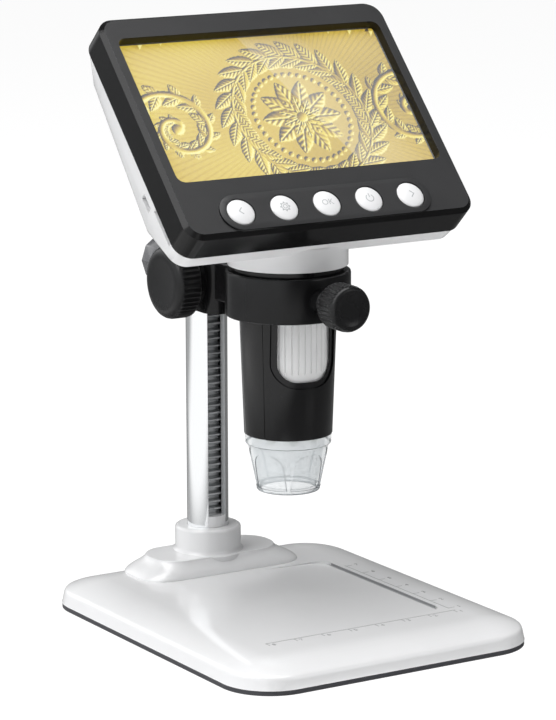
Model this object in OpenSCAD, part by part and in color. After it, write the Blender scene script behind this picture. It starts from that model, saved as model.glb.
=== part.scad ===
// Desk microscope with its own screen, on a rack-and-pinion column.
// Frame: origin at the centre of the foot's underside and under the barrel's axis,
// X to the user's right, -Y towards the user, +Z up. Millimetres.

/* [Foot] */
// Width of the foot, left to right
foot_w = 109; // [104:1:114]
// Depth of the foot, front to back
foot_d = 133; // [126:1:138]
// Height of the foot's top face
foot_h = 8.5; // [8:0.5:10]
// Corner radius of the foot in plan
foot_corner = 17; // [14:1:24]
// Radius of the soft top edge
foot_edge = 5; // [2:0.5:6]
// Radius of the wide curve that the front edge falls away on
front_fall = 16; // [12:1:20]
// Thickness of the black bottom plate
plate_t = 1.5; // [1:0.5:2]
// Depth of the sunk specimen stage
stage_drop = 0.8; // [0.4:0.2:1.2]
// Length over which the sunk stage runs out to the left
stage_run = 24; // [18:2:40]
// Height of the top of the column's boss
boss_top = 22.2; // [20:0.2:25]
// Radius of the column's boss
boss_r = 11; // [10:0.5:12]

/* [Column] */
// Distance of the column behind the barrel's axis
col_y = 51; // [50:0.5:53]
// Outer radius of the chrome tube
col_r = 6.9; // [6.5:0.1:7.2]
// Wall of the tube
col_wall = 1.6; // [1.2:0.1:1.7]
// Width of the slot that shows the rack
slot_w = 6.6; // [6:0.1:7]
// Height of the top of the tube
col_top = 182; // [170:1:190]
// Gear module of the rack and its pinion
gear_m = 0.8; // [0.8:0.1:0.8]
// Teeth on the pinion
pinion_teeth = 12; // [12:1:12]

/* [Carriage] */
// Height of the focus shaft
shaft_z = 107.2; // [106:0.2:109]
// Lowest face of the carriage
car_lo = 96.5; // [95:0.5:98]
// Highest face of the carriage
car_hi = 124; // [121:1:127]
// Radius of the big focus knob
knob_r = 12; // [10:0.5:12]
// Thickness of the big focus knob
knob_t = 9.5; // [8:0.5:11]
// Length of the shaft's bearing boss beside the housing
bear_l = 2.2; // [1.8:0.1:2.6]
// Outer radius of the clamp ring
ring_r = 20; // [19.5:0.25:21]
// Lowest face of the clamp ring
ring_lo = 102; // [101:0.5:103]
// Highest face of the clamp ring
ring_hi = 116.4; // [115:0.2:117]
// Radius of the clamp's thumb knob
thumb_r = 7.4; // [6:0.2:8]
// Radius of the rear tension knob
tension_r = 8.6; // [7:0.2:9]

/* [Barrel] */
// Height of the barrel's lower end
bar_lo = 63.5; // [62:0.5:65]
// Radius of the barrel at its lower end
bar_r_lo = 14.1; // [13.6:0.1:14.4]
// Radius of the barrel just under the ring
bar_r_hi = 15.5; // [15.2:0.1:15.6]
// Radius of the collar that the ring holds
collar_r = 16; // [16:0.1:16]
// Direction that the focus window faces, from the front towards the left
window_az = -6.5; // [-12:0.5:0]
// Width of the focus window
window_w = 18.4; // [17:0.2:20]
// Lower edge of the focus window
window_lo = 82.3; // [80:0.1:83]
// Height of the clear tip's open end
tip_lo = 45; // [43:0.5:47]
// Radius of the clear tip's open end
tip_r_lo = 10.1; // [10:0.1:11]
// Radius of the clear tip under its flange
tip_r_hi = 13; // [12.8:0.1:13.4]

/* [Head] */
// Lean of the screen back from upright, degrees
lean = 43.3; // [40:0.1:46]
// Height of the centre of the screen opening
head_z = 169.9; // [168:0.1:172]
// Distance of that centre behind the barrel's axis
head_y = 3.7; // [3:0.1:4.5]
// Width of the bezel
bezel_w = 105.3; // [104:0.1:107]
// Bezel above the centre of the opening
bezel_up = 36; // [35:0.5:37]
// Bezel below the centre of the opening
bezel_dn = 48.3; // [47:0.1:50]
// Corner radius of the bezel
bezel_r = 6; // [5:0.5:10]
// Thickness of the bezel
bezel_t = 10.9; // [10:0.1:12]
// Width of the screen opening
screen_w = 96.5; // [95:0.1:98]
// Height of the screen opening
screen_h = 55.1; // [54:0.1:56]
// Radius of each button
button_r = 4.7; // [4.5:0.1:5]
// Spacing of the buttons
button_pitch = 15.5; // [15:0.1:15.8]
// Middle of the row of buttons, right of the head's middle
button_u = -1; // [-2:0.5:1]
// Height of the row below the centre of the opening
button_v = -40.6; // [-41:0.1:-40]

/* [Hidden] */
$fn = 64;
run = 0.06;                        // running clearance of the sliding and turning fits
gap = 0.3;                         // plain clearance between pieces that move apart
bite = 0.2;                        // how far joined solids of one piece run into each other
front_y = -foot_d / 2;
pitch_r = gear_m * pinion_teeth / 2;
tooth = PI * gear_m;               // pitch of the rack
rack_tip = col_y - 4.1;            // y of the rack's tooth tips
rack_line = rack_tip + gear_m;     // y of its pitch line
pin_y = rack_line - pitch_r;       // y of the focus shaft
col_in = col_r - col_wall;
shaft_r = 1.5;
body_x = 9.6;                      // half width of the pinion housing
ring_mid = (ring_lo + ring_hi) / 2;
ring_in = collar_r + run;
bar_hi = ring_lo - 0.6;            // where the barrel meets its collar
bar_in = 12.5;                     // radius of the barrel's bore
flange_lo = bar_lo - 3.2;          // lower face of the clear tip's flange
sensor_z = ring_lo + 6;            // seat of the sensor board
neck_r = 19.2;
neck_lo = 118.2;
shell_n = -bezel_t;                // joint plane of the bezel and the rear shell
lip = 3.2;                         // thickness of the bezel's front wall
pill_h = 0.7;                      // height of the panel that the buttons stand in
wheel_r = 13.6;
press = 0.6;                       // travel of a button
cover_a = 57;                      // half angle of the barrel's front cover

// ---- shared shapes ----
module plan(w, d, r) {
  for (x = [-1, 1], y = [-1, 1]) translate([x * (w / 2 - r), y * (d / 2 - r)]) circle(r);
  square([w, d - 2 * r], center = true);
  square([w - 2 * r, d], center = true);
}
// slab with a rounded top edge, base at z = 0
module edge_disc(e, drop) intersection() {
  circle(e);
  translate([-e, -drop]) square([2 * e, e + drop]);
}
module soft_slab(w, d, h, r, e) {
  drop = min(e, h - e);
  linear_extrude(h - e) plan(w, d, r);
  linear_extrude(h) plan(w - 2 * e, d - 2 * e, r - e);
  for (x = [-1, 1]) translate([x * (w / 2 - e), 0, h - e]) rotate([90, 0, 0])
    linear_extrude(d - 2 * r, center = true) edge_disc(e, drop);
  for (y = [-1, 1]) translate([0, y * (d / 2 - e), h - e]) rotate([90, 0, 90])
    linear_extrude(w - 2 * r, center = true) edge_disc(e, drop);
  for (x = [-1, 1], y = [-1, 1]) translate([x * (w / 2 - r), y * (d / 2 - r), h - e])
    rotate_extrude() {
      intersection() {
        translate([r - e, 0]) edge_disc(e, drop);
        translate([0, -e]) square([r, 2 * e]);
      }
      translate([0, -drop]) square([r - e, e + drop]);
    }
}
// round bar with small straight ridges all round
function ridged(r, n, cut) = [for (i = [0 : n - 1], k = [0 : 3])
  let(a = 360 / n * (i + [0, 0.28, 0.5, 0.78][k]), q = (k < 2) ? r : r - cut)
  [q * cos(a), q * sin(a)]];
module ridged_bar(r, n, cut, h) { linear_extrude(h) polygon(ridged(r, n, cut)); }
// the head's own frame: x right, y up the screen, z out of the screen
module head() { translate([0, head_y, head_z]) rotate([90 - lean, 0, 0]) children(); }
module face_plan(inset = 0, r = bezel_r) {
  translate([0, (bezel_up - bezel_dn) / 2])
    plan(bezel_w - 2 * inset, bezel_up + bezel_dn - 2 * inset, r - inset);
}
module at_button(i) { translate([button_u + (i - 2) * button_pitch, button_v, 0]) children(); }

// ---- foot ----
module foot_shell() color("white") difference() {
  union() {
    difference() {
      translate([0, 0, plate_t]) soft_slab(foot_w, foot_d, foot_h - plate_t, foot_corner, foot_edge);
      difference() {
        translate([-foot_w, front_y - 1, plate_t]) cube([2 * foot_w, 11.6, foot_h]);
        translate([0, front_y + 10.6, foot_h - front_fall]) rotate([0, 90, 0])
          cylinder(r = front_fall, h = 3 * foot_w, center = true, $fn = 160);
      }
    }
    hull() {
      translate([0, 48.6, foot_h - 1.2]) linear_extrude(0.4) plan(64, 27, 9);
      translate([0, 49.6, foot_h + 2.6]) linear_extrude(0.4) plan(51, 22.6, 9);
      translate([0, 49.8, foot_h + 5.1]) linear_extrude(0.4) plan(45, 20.2, 8);
    }
    translate([0, col_y, foot_h]) cylinder(r = boss_r, h = boss_top - foot_h - 0.8);
    translate([0, col_y, boss_top - 0.8]) cylinder(r1 = boss_r, r2 = boss_r - 0.8, h = 0.8);
  }
  // sunk stage: a step at the right that runs out to the left
  translate([34.8, -2.2, foot_h - stage_drop]) rotate([0, asin(stage_drop / stage_run), 0])
    translate([-stage_run / 2 - 6, 0, 0]) linear_extrude(4) plan(stage_run + 12, 70.6, 5);
  // hollow underside
  translate([0, 0, plate_t - 1]) linear_extrude(foot_h - plate_t - 3.2 + 1)
    difference() {
      plan(foot_w - 6, foot_d - 12, foot_corner - 3);
      for (x = [-1, 1], y = [-1, 1]) translate([x * 42, y * 46]) circle(4);
      translate([0, col_y]) circle(13);
    }
  for (x = [-1, 1], y = [-1, 1]) translate([x * 42, y * 46, plate_t - 1]) cylinder(r = 1.5, h = 4.6);
  // column socket and its bolt
  translate([0, col_y, 9]) cylinder(r = col_r + 0.03, h = 30);
  translate([0, col_y, -1]) cylinder(r = 2.2, h = 12);
  translate([0, col_y, -1]) cylinder(r = 4.6, h = 5);
}
module foot_plate() color([0.1, 0.1, 0.11]) difference() {
  linear_extrude(plate_t) plan(foot_w - 0.6, foot_d - 0.6, foot_corner);
  for (x = [-1, 1], y = [-1, 1]) translate([x * 42, y * 46, -1]) {
    cylinder(r = 1.6, h = 4);
    cylinder(r = 2.9, h = 2);
  }
  translate([0, col_y, -1]) cylinder(r = 4.9, h = 4);
}
module foot_weight() color("dimgray") difference() {
  translate([0, -4, plate_t]) linear_extrude(3.2) plan(76, 76, 6);
  for (x = [-1, 1], y = [-1, 1]) translate([x * 30, y * 30 - 4, 0]) cylinder(r = 2, h = 9);
}
module foot_screws() color("silver") for (x = [-1, 1], y = [-1, 1])
  translate([x * 42, y * 46, 0]) difference() {
    union() { translate([0, 0, 0.2]) cylinder(r = 2.8, h = 0.8); translate([0, 0, 0.6]) cylinder(r = 1.5, h = 4.4); }
    cylinder(r = 1.1, h = 0.7, $fn = 6);
  }

// ---- column ----
module column_tube() color([0.85, 0.86, 0.88]) translate([0, col_y, 9]) difference() {
  cylinder(r = col_r, h = col_top - 9);
  translate([0, 0, 3]) cylinder(r = col_in, h = col_top);
  translate([0, 0, -1]) cylinder(r = 1.7, h = 6);
  translate([-slot_w / 2, -col_r - 1, 3]) cube([slot_w, col_r + 1, col_top]);
}
rack_lo = 26;
rack_n = floor((col_top - 1 - rack_lo) / tooth);
// the rack's teeth are set so that one gap faces the shaft's height
rack_shift = (shaft_z - rack_lo) - floor((shaft_z - rack_lo) / tooth) * tooth;
rack_deep = 2.1 * gear_m;
function rack_edge() = [for (i = [0 : rack_n - 2], k = [0 : 3])
  let(z = rack_shift + i * tooth + [-0.86, -0.25, 0.25, 0.86][k] + tooth / 2)
  [(k == 0 || k == 3) ? -rack_deep : 0, z]];
module column_rack() color([0.62, 0.63, 0.64]) intersection() {
  // profile drawn in (depth, height): depth counts from the tooth tips into the column
  translate([2.9, rack_tip, rack_lo]) rotate([90, 0, 0]) rotate([0, -90, 0]) linear_extrude(5.8)
    polygon(concat([[-rack_deep, 0]], rack_edge(),
      [[-rack_deep, rack_n * tooth], [-9, rack_n * tooth], [-9, 0]]));
  translate([0, col_y, rack_lo]) cylinder(r = col_in - 0.02, h = col_top);
}
module slot_plug() color("white") translate([0, col_y, 12]) intersection() {
  union() {
    cylinder(r = col_in - 0.02, h = 14);
    translate([-slot_w / 2 + 0.05, -col_r + 0.1, 0]) cube([slot_w - 0.1, 4, 14]);
  }
  translate([0, 0, 0]) cylinder(r = col_r - 0.05, h = 20);
}
module column_cap() color([0.1, 0.1, 0.11]) translate([0, col_y, col_top]) {
  cylinder(r = col_r, h = 2);
  translate([0, 0, 2]) cylinder(r1 = col_r, r2 = col_r - 1, h = 1);
}
module column_bolt() color("silver") translate([0, col_y, 0.6]) {
  difference() { cylinder(r = 4.2, h = 3.4); translate([0, 0, -1]) cylinder(r = 2, h = 3, $fn = 6); }
  translate([0, 0, 3.4 - bite]) cylinder(r = 1.65, h = 8.2);
}

// ---- carriage ----
module arm_plan(a, b) {
  translate([-8.5, a]) square([17, b - a]);
}
module carriage_body() color([0.09, 0.09, 0.1]) difference() {
  union() {
    intersection() {
      translate([0, col_y, car_lo]) cylinder(r = 10.8, h = car_hi - car_lo);
      translate([-body_x, 0, 0]) cube([2 * body_x, 100, 200]);
    }
    translate([0, (31.5 + col_y) / 2, car_lo + 0.6]) linear_extrude(21.4)
      plan(2 * body_x, col_y - 31.5, 5);
    // bearing boss of the shaft, and the rear boss for the tension screw
    translate([-body_x - bear_l, pin_y, shaft_z]) rotate([0, 90, 0]) cylinder(r = 8, h = bear_l + 1);
    translate([0, col_y + 9, 108]) rotate([-90, 0, 0]) cylinder(r = 5, h = 8.2);
  }
  translate([0, col_y, car_lo - 1]) cylinder(r = col_r + run, h = 60);
  // pocket of the pinion, and the bore of its shaft
  translate([0, pin_y, shaft_z]) rotate([0, 90, 0]) cylinder(r = 6.1, h = 5.8, center = true);
  translate([-2.9, pin_y, shaft_z - 6.1]) cube([5.8, 6, 12.2]);
  translate([0, pin_y, shaft_z]) rotate([0, 90, 0]) cylinder(r = shaft_r + run, h = 40, center = true);
  // tension screw and its pad
  translate([0, col_y, 108]) rotate([-90, 0, 0]) cylinder(r = 2 + run, h = 30);
  // pilot holes of the arm's screws
  for (x = [-1, 1]) translate([x * 5.2, 30, ring_mid - 2.6]) rotate([-90, 0, 0]) cylinder(r = 1.2, h = 6);
}
module ring_clamp() color([0.1, 0.1, 0.11]) difference() {
  union() {
    translate([0, 0, ring_lo]) cylinder(r = ring_r, h = ring_hi - ring_lo - 0.7, $fn = 96);
    translate([0, 0, ring_hi - 0.7]) cylinder(r1 = ring_r, r2 = ring_r - 0.5, h = 0.7, $fn = 96);
    translate([0, 0, ring_lo]) linear_extrude(ring_hi - ring_lo - 1.4) arm_plan(17, 31.5);
    translate([0, -ring_r + 2, ring_mid]) rotate([90, 0, 0]) cylinder(r = 4.2, h = 5.8);
  }
  translate([0, 0, ring_lo - 1]) cylinder(r = ring_in, h = 40, $fn = 96);
  translate([0, 0, ring_hi - 3.4]) cylinder(r1 = ring_in, r2 = ring_in + 2.9, h = 3.5, $fn = 96);
  translate([0, -ring_r + 8, ring_mid]) rotate([90, 0, 0]) cylinder(r = 2 + run, h = 30);
  for (x = [-1, 1]) translate([x * 5.2, 16, ring_mid - 2.6]) rotate([-90, 0, 0]) {
    cylinder(r = 1.5, h = 20);
    cylinder(r = 2.6, h = 9);
  }
}
module arm_screws() color("silver") for (x = [-1, 1])
  translate([x * 5.2, 25, ring_mid - 2.6]) rotate([-90, 0, 0]) difference() {
    union() { translate([0, 0, -2]) cylinder(r = 2.5, h = 2); cylinder(r = 1.2, h = 10.6); }
    translate([0, 0, -3]) cylinder(r = 1.1, h = 2.2, $fn = 6);
  }
module friction_pad() color([0.8, 0.78, 0.7]) translate([0, col_y + col_r + 0.15, 108])
  rotate([-90, 0, 0]) cylinder(r = 1.95, h = 1.6);

// ---- focus drive ----
function gear_pts(n, m) = [for (i = [0 : n - 1], k = [0 : 5])
  let(a = 360 / n * i + [-9.6, -6.6, -2.6, 2.6, 6.6, 9.6][k],
      r = [n * m / 2 - 1.05 * m, n * m / 2, n * m / 2 + 0.92 * m, n * m / 2 + 0.92 * m, n * m / 2,
           n * m / 2 - 1.05 * m][k])
  [r * cos(a), r * sin(a)]];
module pinion() color("goldenrod") translate([-2.4, pin_y, shaft_z]) rotate([0, 90, 0]) difference() {
  // one tooth points straight at the rack
  linear_extrude(4.8) rotate(90) polygon(gear_pts(pinion_teeth, gear_m));
  translate([0, 0, -1]) cylinder(r = shaft_r, h = 8);
}
module focus_shaft() color("silver") translate([-body_x - bear_l - gap - knob_t + 1.1, pin_y, shaft_z])
  rotate([0, 90, 0]) cylinder(r = shaft_r, h = 2 * (body_x + gap) + bear_l + knob_t + 1.1);
module focus_knob() color([0.08, 0.08, 0.09]) translate([-body_x - bear_l - gap - knob_t, pin_y, shaft_z])
  rotate([0, 90, 0]) difference() {
    union() {
      // smooth dished face with a rounded rim, then the ridged grip
      translate([0, 0, 1]) cylinder(r1 = knob_r - 1.6, r2 = knob_r - 0.3, h = 1.4);
      cylinder(r1 = knob_r - 3.4, r2 = knob_r - 1.6, h = 1);
      translate([0, 0, 2.2]) ridged_bar(knob_r, 44, 0.5, knob_t - 3);
      translate([0, 0, knob_t - 1]) cylinder(r = 6, h = 1);
    }
    translate([0, 0, 1.1]) cylinder(r = shaft_r, h = 20);
  }
module shaft_end_cap() color([0.09, 0.09, 0.1]) translate([body_x + gap, pin_y, shaft_z])
  rotate([0, 90, 0]) difference() {
    union() { cylinder(r = 5, h = 2.4); translate([0, 0, 2.4]) cylinder(r1 = 5, r2 = 4.2, h = 0.8); }
    translate([0, 0, -1]) cylinder(r = shaft_r, h = 3.2);
  }
module tension_screw() color("silver") translate([0, col_y + col_r + 1.95, 108]) rotate([-90, 0, 0])
  cylinder(r = 2, h = 16.6);
module tension_knob() color([0.3, 0.3, 0.31]) translate([0, col_y + 18.2, 108]) rotate([-90, 0, 0])
  difference() {
    union() {
      cylinder(r = 5.4, h = 2.2);
      translate([0, 0, 2]) cylinder(r = tension_r, h = 8, $fn = 10);
      translate([0, 0, 10]) cylinder(r = 5.6, h = 0.8);
    }
    translate([0, 0, -1]) cylinder(r = 2, h = 8.25);
  }
module clamp_screw() color("silver") translate([0, -collar_r - 0.1, ring_mid]) rotate([90, 0, 0])
  cylinder(r = 2, h = 17);
module clamp_knob() color([0.08, 0.08, 0.09]) translate([0, -26.4, ring_mid]) rotate([90, 0, 0])
  difference() {
    union() {
      cylinder(r = 5.2, h = 1.4);
      translate([0, 0, 1.2]) cylinder(r1 = thumb_r - 1, r2 = thumb_r - 0.2, h = 1);
      translate([0, 0, 2]) ridged_bar(thumb_r, 34, 0.4, 7.6);
      translate([0, 0, 9.4]) cylinder(r1 = thumb_r - 0.15, r2 = thumb_r - 1.4, h = 1.6);
    }
    translate([0, 0, -1]) cylinder(r = 2, h = 7.75);
    translate([0, 0, 10.6]) cylinder(r1 = thumb_r - 2.6, r2 = thumb_r - 1.9, h = 0.7);
  }

// ---- barrel ----
module wedge(a, z0, z1) {   // sector that faces the window's direction
  translate([0, 0, z0]) linear_extrude(z1 - z0) rotate(window_az - 90)
    polygon([[0, 0], [40 * cos(a), -40 * sin(a)], [60, 0], [40 * cos(a), 40 * sin(a)]]);
}
module barrel_wall() difference() {
  translate([0, 0, bar_lo]) cylinder(r1 = bar_r_lo, r2 = bar_r_hi, h = bar_hi - bar_lo, $fn = 96);
  translate([0, 0, bar_lo - 1]) cylinder(r = bar_in, h = 60);
  translate([0, 0, window_lo - 2]) cylinder(r = wheel_r + gap, h = 23);
}
module window_cut(w, lo, r) {
  rotate(window_az) translate([0, -9, (lo + 110) / 2]) rotate([90, 0, 0]) linear_extrude(12)
    plan(w, 110 - lo, r);
}
module barrel_front() color([0.1, 0.1, 0.11]) difference() {
  intersection() { barrel_wall(); wedge(cover_a - 0.25, bar_lo - 1, bar_hi - 0.05); }
  window_cut(window_w, window_lo, 6.2);
  difference() {
    window_cut(window_w + 4, window_lo - 2, 8.5);
    translate([0, 0, bar_lo]) cylinder(r1 = bar_r_lo - 0.5, r2 = bar_r_hi - 0.5, h = bar_hi - bar_lo);
  }
}
module barrel_rear() color([0.1, 0.1, 0.11]) {
  difference() {
    barrel_wall();
    wedge(cover_a, bar_lo - 2, bar_hi);
  }
  difference() {
    union() {
      translate([0, 0, bar_hi]) cylinder(r = collar_r, h = ring_hi - 3.4 - bar_hi, $fn = 96);
      translate([0, 0, ring_hi - 3.4]) cylinder(r1 = collar_r, r2 = collar_r + 1.7, h = 2.05, $fn = 96);
      translate([0, 0, ring_hi - 1.35]) cylinder(r = collar_r + 1.7, h = neck_lo - ring_hi + 1.35, $fn = 96);
    }
    translate([0, 0, bar_hi - 1]) cylinder(r = wheel_r + gap, h = 3);
    translate([0, 0, bar_hi]) cylinder(r = bar_in, h = 40);
    for (a = [30, 150, 270]) rotate(a) translate([14.7, 0, neck_lo - 4]) cylinder(r = 0.8, h = 9);
  }
}
module collar_screws() color("silver") for (a = [30, 150, 270]) rotate(a) translate([14.7, 0, neck_lo - 4])
  { cylinder(r = 0.8, h = 7); }
module sensor_board() color("darkgreen") translate([0, 0, sensor_z]) cylinder(r = bar_in - 0.2, h = 1.2);
module image_sensor() color([0.15, 0.15, 0.18]) translate([-4, -4, sensor_z - 1.8]) cube([8, 8, 1.8]);
module led_board() color("white") translate([0, 0, bar_lo + 1.5]) difference() {
  cylinder(r = bar_in - 0.2, h = 1.2);
  translate([0, 0, -1]) cylinder(r = 6.6, h = 4);
}
module led_lamps() color([0.95, 0.95, 0.9]) for (a = [0 : 45 : 315]) rotate(a + 22.5) translate([9.4, 0, 0]) {
  translate([0, 0, bar_lo - 1.1]) cylinder(r = 1.5, h = 2.6, $fn = 24);
  translate([0, 0, bar_lo - 1.1]) sphere(r = 1.5, $fn = 24);
}
module clear_tip() color([0.85, 0.93, 0.95, 0.5]) difference() {
  union() {
    translate([0, 0, flange_lo]) cylinder(r1 = tip_r_hi + 0.7, r2 = tip_r_hi + 0.9, h = bar_lo - flange_lo, $fn = 96);
    translate([0, 0, tip_lo]) cylinder(r1 = tip_r_lo, r2 = tip_r_hi, h = flange_lo - tip_lo, $fn = 96);
    translate([0, 0, bar_lo - bite]) cylinder(r = bar_in - 0.05, h = 1.7);
  }
  translate([0, 0, tip_lo + 1.6]) cylinder(r1 = tip_r_lo - 1.0, r2 = tip_r_hi - 1.4, h = flange_lo - 0.3 - tip_lo - 1.6);
  translate([0, 0, flange_lo - 0.4]) cylinder(r = tip_r_hi - 1.4, h = 10);
  translate([0, 0, tip_lo - 1]) cylinder(r = 8.6, h = 5);
}
module focus_wheel() color([0.93, 0.93, 0.93]) difference() {
  union() {
    translate([0, 0, window_lo + 2.6]) ridged_bar(wheel_r, 40, 0.5, 16.1);
    translate([0, 0, window_lo - 1.7]) cylinder(r = wheel_r - 0.1, h = 4.5);
  }
  difference() {
    translate([0, 0, window_lo - 3]) cylinder(r = 11.2, h = 30);
    translate([0, 0, 90]) cylinder(r = 12, h = 2.4);
  }
  translate([0, 0, 80]) cylinder(r = 6.0, h = 20);
}
module lens_carrier() color([0.12, 0.12, 0.13]) translate([0, 0, 66.8]) difference() {
  union() { cylinder(r = 5.92, h = 34); cylinder(r = 6.3, h = 12); }
  translate([0, 0, -1]) cylinder(r = 4.6, h = 60);
}
module objective_lens() color([0.7, 0.8, 0.95, 0.6]) intersection() {
  translate([0, 0, 68.2]) cylinder(r = 4.58, h = 4);
  translate([0, 0, 68.4 + 9]) sphere(r = 9);
}

// ---- head ----
module pill(grow = 0) {
  hull() for (x = [-1, 1]) translate([button_u + x * 2.04 * button_pitch, button_v]) circle(6.6 + grow);
}
module front_bezel() color([0.16, 0.16, 0.17]) head() {
  // posts that carry the button board
  for (i = [0 : 3]) translate([button_u + (i - 1.5) * button_pitch, button_v, -lip - 1.8])
    cylinder(r = 1.5, h = 1.9);
  difference() {
  union() {
    translate([0, 0, -bezel_t]) linear_extrude(bezel_t - 1.4) face_plan();
    hull() {
      translate([0, 0, -1.6]) linear_extrude(0.2) face_plan();
      translate([0, 0, -0.2]) linear_extrude(0.2) face_plan(1.6);
    }
    // raised panel round the buttons
    translate([0, 0, -0.5]) linear_extrude(pill_h + 0.2) pill();
    translate([0, 0, pill_h - 0.3]) linear_extrude(0.3) pill(-0.3);
  }
  // screen opening, flared towards the front
  translate([0, 0, -20]) linear_extrude(30) plan(screen_w, screen_h, 2.5);
  for (i = [0 : 4]) at_button(i) translate([0, 0, -20]) cylinder(r = button_r + 0.15, h = 30);
  // hollow back
  translate([0, 0, -bezel_t - 1]) linear_extrude(bezel_t - lip + 1) face_plan(2);
  }
}
module screen_glass() color([0.75, 0.8, 0.85, 0.35]) head() translate([0, 0, -lip - 1])
  linear_extrude(1) plan(screen_w + 3.5, screen_h + 3.5, 1.5);
module lcd_panel() color([0.15, 0.15, 0.16]) head() translate([0, 0, -lip - 4.2])
  linear_extrude(3.2) plan(screen_w + 3.9, screen_h + 6.9, 1);
module main_board() color("darkgreen") head() translate([0, -2, -14.4]) difference() {
  translate([-46, -30, 0]) cube([92, 62, 1.4]);
  for (x = [-1, 1], y = [-1, 1]) translate([x * 43, y * 27, -1]) cylinder(r = 1.5, h = 4);
}
module board_chips() color([0.1, 0.1, 0.1]) head() {
  translate([-8, 8, -13.0]) cube([14, 14, 1.4]);
  translate([16, 12, -13.0]) cube([10, 8, 1.2]);
  translate([-30, 14, -13.0]) cube([8, 8, 1.0]);
}
module battery_pack() color([0.35, 0.45, 0.6]) head() translate([0, 6.5, -19.2]) linear_extrude(4.8)
  plan(60, 34, 2);
module button_board() color("darkgreen") head() translate([button_u, button_v, -lip - 3])
  translate([-38, -4.6, 0]) cube([76, 9.2, 1.2]);
module dome_switches() color("silver") head() for (i = [0 : 4]) at_button(i)
  translate([0, 0, -lip - 1.8]) cylinder(r = 2, h = 0.4, $fn = 32);
module usb_socket() color("silver") head() translate([-50.4, -23.7, -15.7]) difference() {
  translate([0, -2.75, -1.2]) cube([5.4, 5.5, 2.4]);
  translate([-1, -2.4, -0.85]) cube([5.4, 4.8, 1.7]);
}
module card_socket() color("silver") head() translate([-50.2, -35.2, -12.1]) difference() {
  translate([0, -6.4, -0.9]) cube([12, 12.8, 1.8]);
  translate([-1, -5.6, -0.4]) cube([12, 11.2, 0.9]);
}
module shell_hull(s) intersection() {   // s: distance inside the outer face
  translate([-60, -60, shell_n - 60]) cube([120, 120, 60]);
  hull() {
    translate([0, 0, shell_n - 0.5]) linear_extrude(0.5) face_plan(0.4 + s);
    for (x = [-1, 1]) {
      translate([x * 46.5, 24, -17.5]) sphere(r = 4 - s, $fn = 32);
      translate([x * 46.5, -28, -22]) sphere(r = 4 - s, $fn = 32);
    }
    // straight lip under the bezel
    translate([0, -19.3, -16.6 + s]) linear_extrude(0.5)
      plan(bezel_w - 1.8 - 2 * s, 56.2 - 2 * s, 5.6 - s);
  }
}
module rear_shell() color("white") difference() {
  union() {
    difference() {
      union() {
        head() shell_hull(0);
        intersection() {
          translate([0, 0, neck_lo]) cylinder(r = neck_r, h = 40, $fn = 96);
          head() translate([-60, -60, -70]) cube([120, 120, 56]);
        }
      }
      difference() {
        head() translate([0, 0, 0.01]) shell_hull(2);
        translate([0, 0, neck_lo]) cylinder(r = neck_r, h = 8);
      }
    }
    // bosses that carry the main board
    head() for (x = [-1, 1]) {
      translate([x * 43, 25, -20]) cylinder(r = 3.8, h = 5.6);
      translate([x * 43, -29, -24.4]) cylinder(r = 3, h = 10);
    }
  }
  translate([0, 0, neck_lo - 1]) cylinder(r = 13, h = 24);
  for (a = [30, 150, 270]) rotate(a) translate([14.7, 0, neck_lo - 1]) cylinder(r = 0.8, h = 4);
  head() {
    translate([-60, -23.7 - 2.85, -15.7 - 1.3]) cube([18, 5.7, 2.6]);
    translate([-60, -35.2 - 6.5, -12.1 - 1]) cube([22, 13, 2]);
    for (x = [-1, 1]) {
      translate([x * 43, 25, -40]) cylinder(r = 1.5, h = 40);
      translate([x * 43, 25, -60]) cylinder(r = 2.9, h = 42.2);
      translate([x * 43, -29, -40]) cylinder(r = 1.5, h = 40);
      translate([x * 43, -29, -60]) cylinder(r = 2.9, h = 36.5);
    }
  }
}
module shell_screws() color("silver") head() for (x = [-1, 1]) {
  translate([x * 43, 25, -19.4]) difference() {
    union() { cylinder(r = 2.7, h = 1.6); cylinder(r = 1.45, h = 6.8); }
    translate([0, 0, -1]) cylinder(r = 1.2, h = 1.8, $fn = 6);
  }
  translate([x * 43, -29, -25.1]) difference() {
    union() { cylinder(r = 2.7, h = 1.6); cylinder(r = 1.45, h = 12); }
    translate([0, 0, -1]) cylinder(r = 1.2, h = 1.8, $fn = 6);
  }
}
// a button: round cap with a low dome, a flange behind the bezel and a stem
module push_button(i) color([0.95, 0.95, 0.95]) head() at_button(i) {
  translate([0, 0, -lip - 0.7]) cylinder(r = button_r + 0.8, h = 0.6);
  translate([0, 0, -lip - 0.3]) cylinder(r = button_r, h = lip + pill_h + 0.1);
  intersection() {
    translate([0, 0, -0.1]) cylinder(r = button_r, h = 3);
    translate([0, 0, pill_h + 0.6 - 17]) sphere(r = 17);
  }
}
module button_left() push_button(0);
module button_gear() push_button(1);
module button_ok() push_button(2);
module button_power() push_button(3);
module button_right() push_button(4);

foot_shell();
foot_plate();
foot_weight();
foot_screws();
column_tube();
column_rack();
slot_plug();
column_cap();
column_bolt();
carriage_body();
ring_clamp();
arm_screws();
friction_pad();
pinion();
focus_shaft();
focus_knob();
shaft_end_cap();
tension_screw();
tension_knob();
clamp_screw();
clamp_knob();
barrel_rear();
barrel_front();
collar_screws();
sensor_board();
image_sensor();
led_board();
led_lamps();
clear_tip();
focus_wheel();
lens_carrier();
objective_lens();
front_bezel();
screen_glass();
lcd_panel();
main_board();
board_chips();
battery_pack();
button_board();
dome_switches();
usb_socket();
card_socket();
rear_shell();
shell_screws();
button_left();
button_gear();
button_ok();
button_power();
button_right();
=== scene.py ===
import math

import bmesh
import bpy
import numpy as np
from bpy.props import FloatProperty, FloatVectorProperty, IntProperty, PointerProperty
from mathutils import Matrix, Vector


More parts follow.
